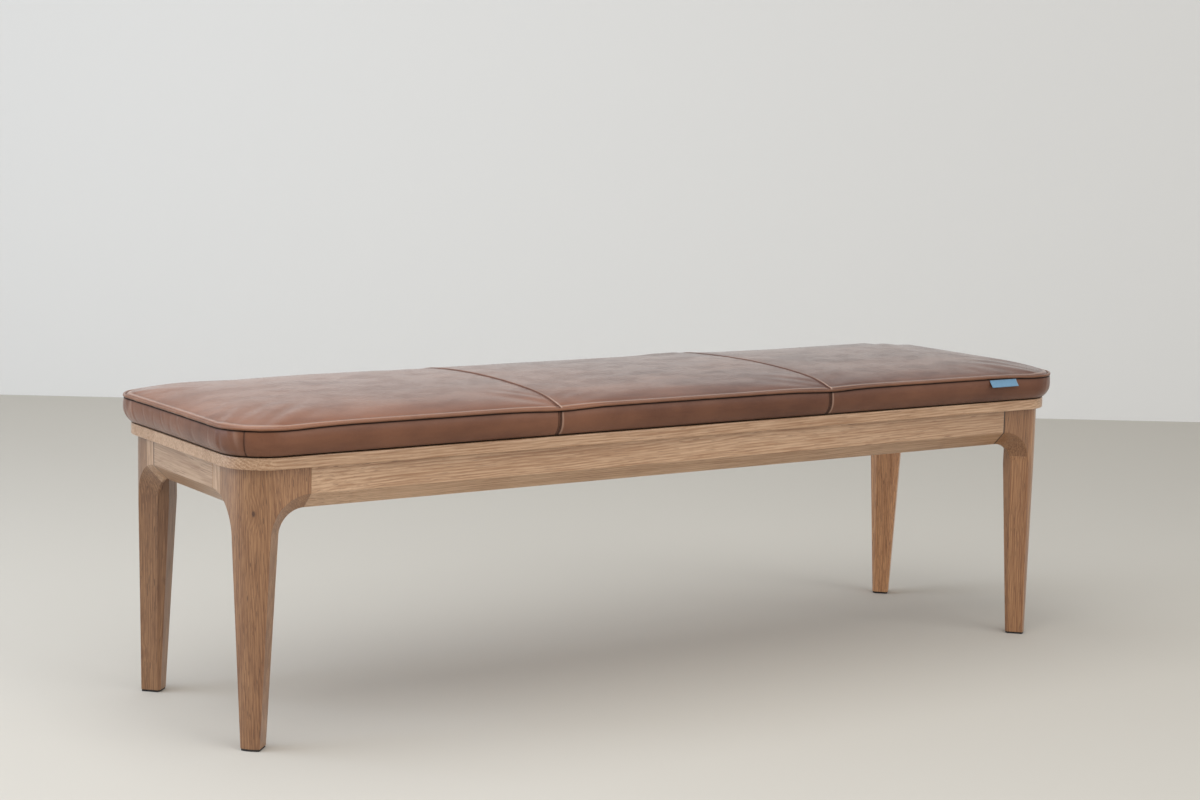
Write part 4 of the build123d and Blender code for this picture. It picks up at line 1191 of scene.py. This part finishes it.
for side, *ends in strip_table:
    names = "leather_band", f"{side}_band"
    leather_sheet(f"{side}_leather", band_strip(*ends, side == "back"), leather_band, *names)
print(len(strip_table), "strips in the band")

# %% [markdown]
# ## Piping
#
# The piping is a cord in a strip of the same leather, sewn in between top and band: a tube that follows the
# rim, up and down with the puffed edge, a little uneven, because a cord inside leather never shows
# perfectly round. Where its two ends meet, at the right-hand end of the pad, they overlap in a small knot.

# %% Piping tube
pipe_sides = 12
pipe_pitch = 4 * mm
knot_reach = 5 * mm
knot_rise = 2.2 * mm
knot_place = near_right + long_y * 1.62
knot_swell = 0.4
wobble_size, wobble_sway = 0.015, 0.12 * mm
pipe_fullness = 0.97
wobble_counts = (41, 67, 109, 173)
pipe_shadow_turn = math.radians(76)

pipe_places = np.linspace(0, ring_length, int(ring_length / pipe_pitch), endpoint=False)
wobble_phases = [random.uniform(0, 2 * math.pi) for _ in wobble_counts]
wobble = sum(
    np.sin(pipe_places / ring_length * 2 * math.pi * count + phase)
    for count, phase in zip(wobble_counts, wobble_phases)
)
knot = bell(pipe_places - knot_place, knot_reach)
pipe_size = pipe_radius * (pipe_fullness + wobble_size * wobble + knot_swell * knot)
pipe_x, pipe_y, pipe_out_x, pipe_out_y = ring_place(pipe_places, pipe_grow + wobble_sway * wobble)
pipe_lift = rim_lift(pipe_x) * (np.abs(pipe_y) > end_run) + knot_rise * knot
turns = 2 * math.pi * np.arange(pipe_sides)[:, None] / pipe_sides
out, rise = pipe_size * np.cos(turns), pipe_size * np.sin(turns)
pipe_spread = [pipe_x + pipe_out_x * out, pipe_y + pipe_out_y * out]
pipe_points = np.stack([*pipe_spread, pipe_z + pipe_lift + rise], -1)
# Painted shade on the cord's underside and inner side, where it sinks between top and band
pipe_underside_shade = np.maximum(-np.cos(turns - pipe_shadow_turn), 0) ** 1.3
pipe_faces = grid_faces(*out.shape, round_rows=True, round_columns=True)
pipe_mesh = new_mesh("leather_piping", pipe_points, pipe_faces)
write_values(pipe_mesh, "crease_shade", np.broadcast_to(pipe_underside_shade, out.shape))
pad_piece(pipe_mesh, leather_pipe, "piping")
print("piping of", len(pipe_places), "rings")

# %% [markdown]
# ## Foam and lining
#
# Nobody sees the foam, but the pad has one: a crowned block inside its cover, closed from the same
# functions as a grid on top, rows round its side and a grid below. The lining under it is a flat sheet of
# woven cloth, turned in at its edge.

# %% Foam
foam_inset = 3.6 * mm
foam_side_inset = foam_inset * 1.6
foam_pitch = 14 * mm
foam_under_x, foam_under_y = 0.992, 0.97
foam_shares = (0.9, 0.66, 0.4, 0.2, 0.08, 0.03)


def foam_core():
    """A closed block of foam that fills the cover."""
    count_x, count_y = int(2 * top_x / foam_pitch), int(2 * top_y / foam_pitch)
    plain = np.meshgrid(np.linspace(-top_x, top_x, count_x + 1), np.linspace(-top_y, top_y, count_y + 1))
    place_x, place_y, out_x, out_y = outline_place(*plain, top_grow)
    height = top_height(place_x, place_y)[0] + seam_dip(from_seam(place_x)) + top_swell(*plain)[..., 2]
    x, y = draw_in(place_x, place_y)
    x, y = x * (1 - foam_side_inset / top_x), y * (1 - foam_side_inset / top_y)
    top = np.stack([x, y, height - foam_inset], -1)
    under_z = np.full_like(x, pad_bottom + foam_inset)
    under = np.stack([x * foam_under_x, y * foam_under_y, under_z], -1)
    index = np.arange(x.size).reshape(x.shape)
    rim = np.concatenate([index[0, :-1], index[:-1, -1], index[-1, :0:-1], index[:0:-1, 0]])
    base = top.reshape(-1, 3)[rim]
    out = np.stack([out_x, out_y], -1).reshape(-1, 2)[rim]
    points, rings = [top.reshape(-1, 3)], [rim]
    for number, share in enumerate(foam_shares):
        ring = base.copy()
        ring[:, :2] += out * (grow_at(share) - foam_inset - (top_grow - foam_side_inset))
        ring[:, 2] = pad_bottom + band_tall * share
        points.append(ring)
        rings.append(x.size + len(rim) * number + np.arange(len(rim)))
    first = x.size + len(rim) * len(foam_shares)
    rings.append(first + rim)
    faces = grid_faces(*x.shape)
    for last, new in zip(rings, rings[1:]):
        faces += np.stack([last, new, np.roll(new, -1), np.roll(last, -1)], -1).tolist()
    faces += [[first + place for place in face[::-1]] for face in grid_faces(*x.shape)]
    return new_mesh("foam_core", np.concatenate([*points, under.reshape(-1, 3)]), faces)


foam_finish, foam_tree, foam_shader, foam_place = new_finish("pale_foam")
foam_cells = put(foam_tree, "TexVoronoi", {"Vector": foam_place, "Scale": 700.0}).outputs["Distance"]
foam_color = blend(ramp(foam_cells, 0.1, 0.7), shade(150, 138, 108), shade(226, 214, 178))
foam_normal = bump(foam_cells, 1.0, 0.4 * mm)
fill(foam_shader, {"Base Color": foam_color, "Normal": foam_normal, "Roughness": 0.95})
foam = pad_piece(foam_core(), foam_finish, "pad_foam")
print("foam of", len(foam.data.polygons), "faces")

# %% Lining
lining_grow = 0.2 * mm
lining_thick = 0.9 * mm
hem_rise, hem_reach = 0.35 * mm, 5 * mm
lining_counts = (60, 200)
plain_x, plain_y = np.meshgrid(
    np.linspace(-1, 1, lining_counts[1]) * (half_x + lining_grow),
    np.linspace(-1, 1, lining_counts[0]) * (half_y + lining_grow),
)
place_x, place_y, _, _ = outline_place(plain_x, plain_y, lining_grow)
lining_hem = np.minimum(half_x - np.abs(place_x), half_y - np.abs(place_y))
lining_z = pad_bottom + hem_rise * bell(lining_hem, hem_reach) + 0.1 * mm
lining_points = np.stack([*draw_in(place_x, place_y), lining_z], -1)
lining_mesh = new_mesh("lining_sheet", lining_points, [face[::-1] for face in grid_faces(*lining_counts)])
lining = pad_piece(lining_mesh, lining_finish, "bottom_panel", lining_thick)
print("lining of", len(lining.data.polygons), "faces")

# %% [markdown]
# ## Stitches
#
# Each cross seam is sewn through once more on its left side, close to the lip, and the band's seams below
# it. The thread shows as short dark stitches that sink into the leather. Each is a small capsule laid on
# the finished surface, and all of them together are one piece.

# %% Stitch thread
stitch_pitch = 4.6 * mm
stitch_length = 3.1 * mm
stitch_gap = -1.5 * mm
stitch_rise = 0.1 * mm
stitch_margin = 4 * mm
thread_radius = 0.42 * mm


def capsules(name, ends, radius, finish):
    """A piece made of short threads with pointed ends, each from a start to a stop."""
    builder = bmesh.new()
    for start, stop in ends:
        run = stop - start
        turn = run.to_track_quat("Z", "Y").to_matrix().to_4x4()
        size = Matrix.Diagonal((radius, radius, run.length / 2, 1))
        matrix = Matrix.Translation((start + stop) / 2) @ turn @ size
        bmesh.ops.create_uvsphere(builder, u_segments=8, v_segments=6, radius=1, matrix=matrix)
    mesh = bpy.data.meshes.new(name)
    builder.to_mesh(mesh)
    builder.free()
    return pad_piece(mesh, finish)


def top_point(seam, y):
    """A stitch's end on the finished top."""
    points = top_surface(np.array([[seam + stitch_gap]]), np.array([[y]]), np.array([[stitch_gap]]))[0]
    return Vector(points[0, 0]) + Vector((0, 0, stitch_rise))


def band_point(distance, share):
    """A point on the finished band."""
    distance = np.array([distance])
    x, y, _, _ = ring_place(distance, grow_at(share))
    return Vector((np.stack([x, y, band_z(x, y, share)], -1) + band_swell(distance, share))[0])


stitches = []
for seam in (-seam_place, seam_place):
    for step in range(int(2 * (top_y - stitch_margin) / stitch_pitch)):
        y = -top_y + stitch_margin + stitch_pitch * (step + 0.2)
        stitches.append((top_point(seam, y), top_point(seam, y + stitch_length)))
for seam in front_seams:
    for step in range(int(band_tall * 0.9 / stitch_pitch)):
        share = 0.06 + stitch_pitch * step / band_tall
        ends = [band_point(seam + stitch_gap, part) for part in (share, share + stitch_length / band_tall)]
        stitches.append(ends)
thread = capsules("seam_thread", stitches, thread_radius, thread_finish)
print(len(stitches), "stitches of", len(thread.data.polygons), "faces")

# %% [markdown]
# ## The tab and the zip
#
# A folded, blank ribbon is sewn in under the piping near the right corner. It stands off the band a little,
# as a stiff ribbon does, so its section is drawn as a closed loop and swept along its width. The zip at the
# back is a tape with a row of coiled teeth, small enough that each tooth is a capsule.

# %% Tab
tab_low, tab_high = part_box("sewn_tab")
tab_columns = 24
tab_steps = 9
tab_drop = tab_high.z - tab_low.z
tab_fall = tab_drop * 0.94
tab_flare = 8.4 * mm
tab_gap = 0.45 * mm
tab_ply = 0.35 * mm
tab_fold_rise = 0.6 * mm
tab_root_rise = 1.0 * mm
tab_curl, tab_skew = 0.8 * mm, 0.5 * mm

tab_shares = np.linspace(0, 1, tab_steps)
tab_face = tab_gap / 2 + tab_ply
outer = [(tab_flare * share**1.25 + tab_face, -tab_fall * share) for share in tab_shares]
inner = [(tab_flare * share**1.25 - tab_gap / 2, -tab_fall * share) for share in tab_shares]
fold_round = [
    (tab_flare + tab_face * math.cos(turn), -tab_fall - tab_fold_rise * math.sin(turn))
    for turn in map(math.radians, (45, 90, 135))
]
tab_loop = outer + fold_round + inner[::-1]
loop_size = len(tab_loop)
tab_points = []
for column in range(tab_columns + 1):
    share = column / tab_columns
    x = tab_low.x + (tab_high.x - tab_low.x) * share
    curl = tab_curl * math.sin(math.pi * share) - tab_skew * share
    for out, down in tab_loop:
        lean = -down / tab_drop
        tab_points.append((x, tab_high.y - out - curl * lean, tab_high.z + tab_root_rise + down))
tab_sides = grid_faces(tab_columns + 1, loop_size, round_columns=True)
tab_caps = [range(loop_size), range(len(tab_points) - 1, len(tab_points) - 1 - loop_size, -1)]
tab_faces = [(a, d, c, b) for a, b, c, d in tab_sides] + [tuple(cap) for cap in tab_caps]
tab = pad_piece(new_mesh("blank_tab", tab_points, tab_faces), tab_finish, "sewn_tab")
for number in range(len(tab_sides), len(tab_faces)):
    tab.data.polygons[number].use_smooth = False
print("tab of", len(tab_faces), "faces")

# %% Zip
tooth_pitch = 2.4 * mm
tooth_radius = 0.45 * mm
tooth_lean, tooth_reach, tooth_out = 0.5 * mm, 1.3 * mm, 0.55 * mm
tape_thick = 0.5 * mm
tape_half = 3.2 * mm
tape_columns = 150
tape_depth = 1.5 * mm
# How far up and out each row of the tape's points lies
tape_rows = [(-tape_half, -0.9 * mm), (-tape_half * 0.6, 0.0), (0.0, 0.25 * mm), (tape_half * 0.6, 0.0),
             (tape_half, -0.9 * mm)]


def zip_point(along, rise, out):
    """A point on the zip, this far along it, above its line and out of its furrow."""
    distance = np.array([far_right + long_x - along])
    x, y, _, _ = ring_place(distance, grow_at(zip_share) - tape_depth + out)
    y = y + band_swell(distance, zip_share)[:, 1]
    return Vector((x[0], y[0], band_z(x, y, zip_share)[0] + rise))


tape_places = [zip_half * (2 * column / tape_columns - 1) for column in range(tape_columns + 1)]
tape_points = [zip_point(along, *row) for row in tape_rows for along in tape_places]
tape_faces = [face[::-1] for face in grid_faces(len(tape_rows), len(tape_places))]
pad_piece(new_mesh("zip_ribbon", tape_points, tape_faces), zip_finish, "zip_tape", tape_thick)
teeth = []
for step in range(int(2 * zip_half / tooth_pitch)):
    along = -zip_half + tooth_pitch * (step + 0.5)
    start = zip_point(along - tooth_lean, -tooth_reach, tooth_out)
    teeth.append((start, zip_point(along + tooth_lean, tooth_reach, tooth_out)))
capsules("zip_teeth", teeth, tooth_radius, dark_plastic)
print("zip of", len(teeth), "teeth")
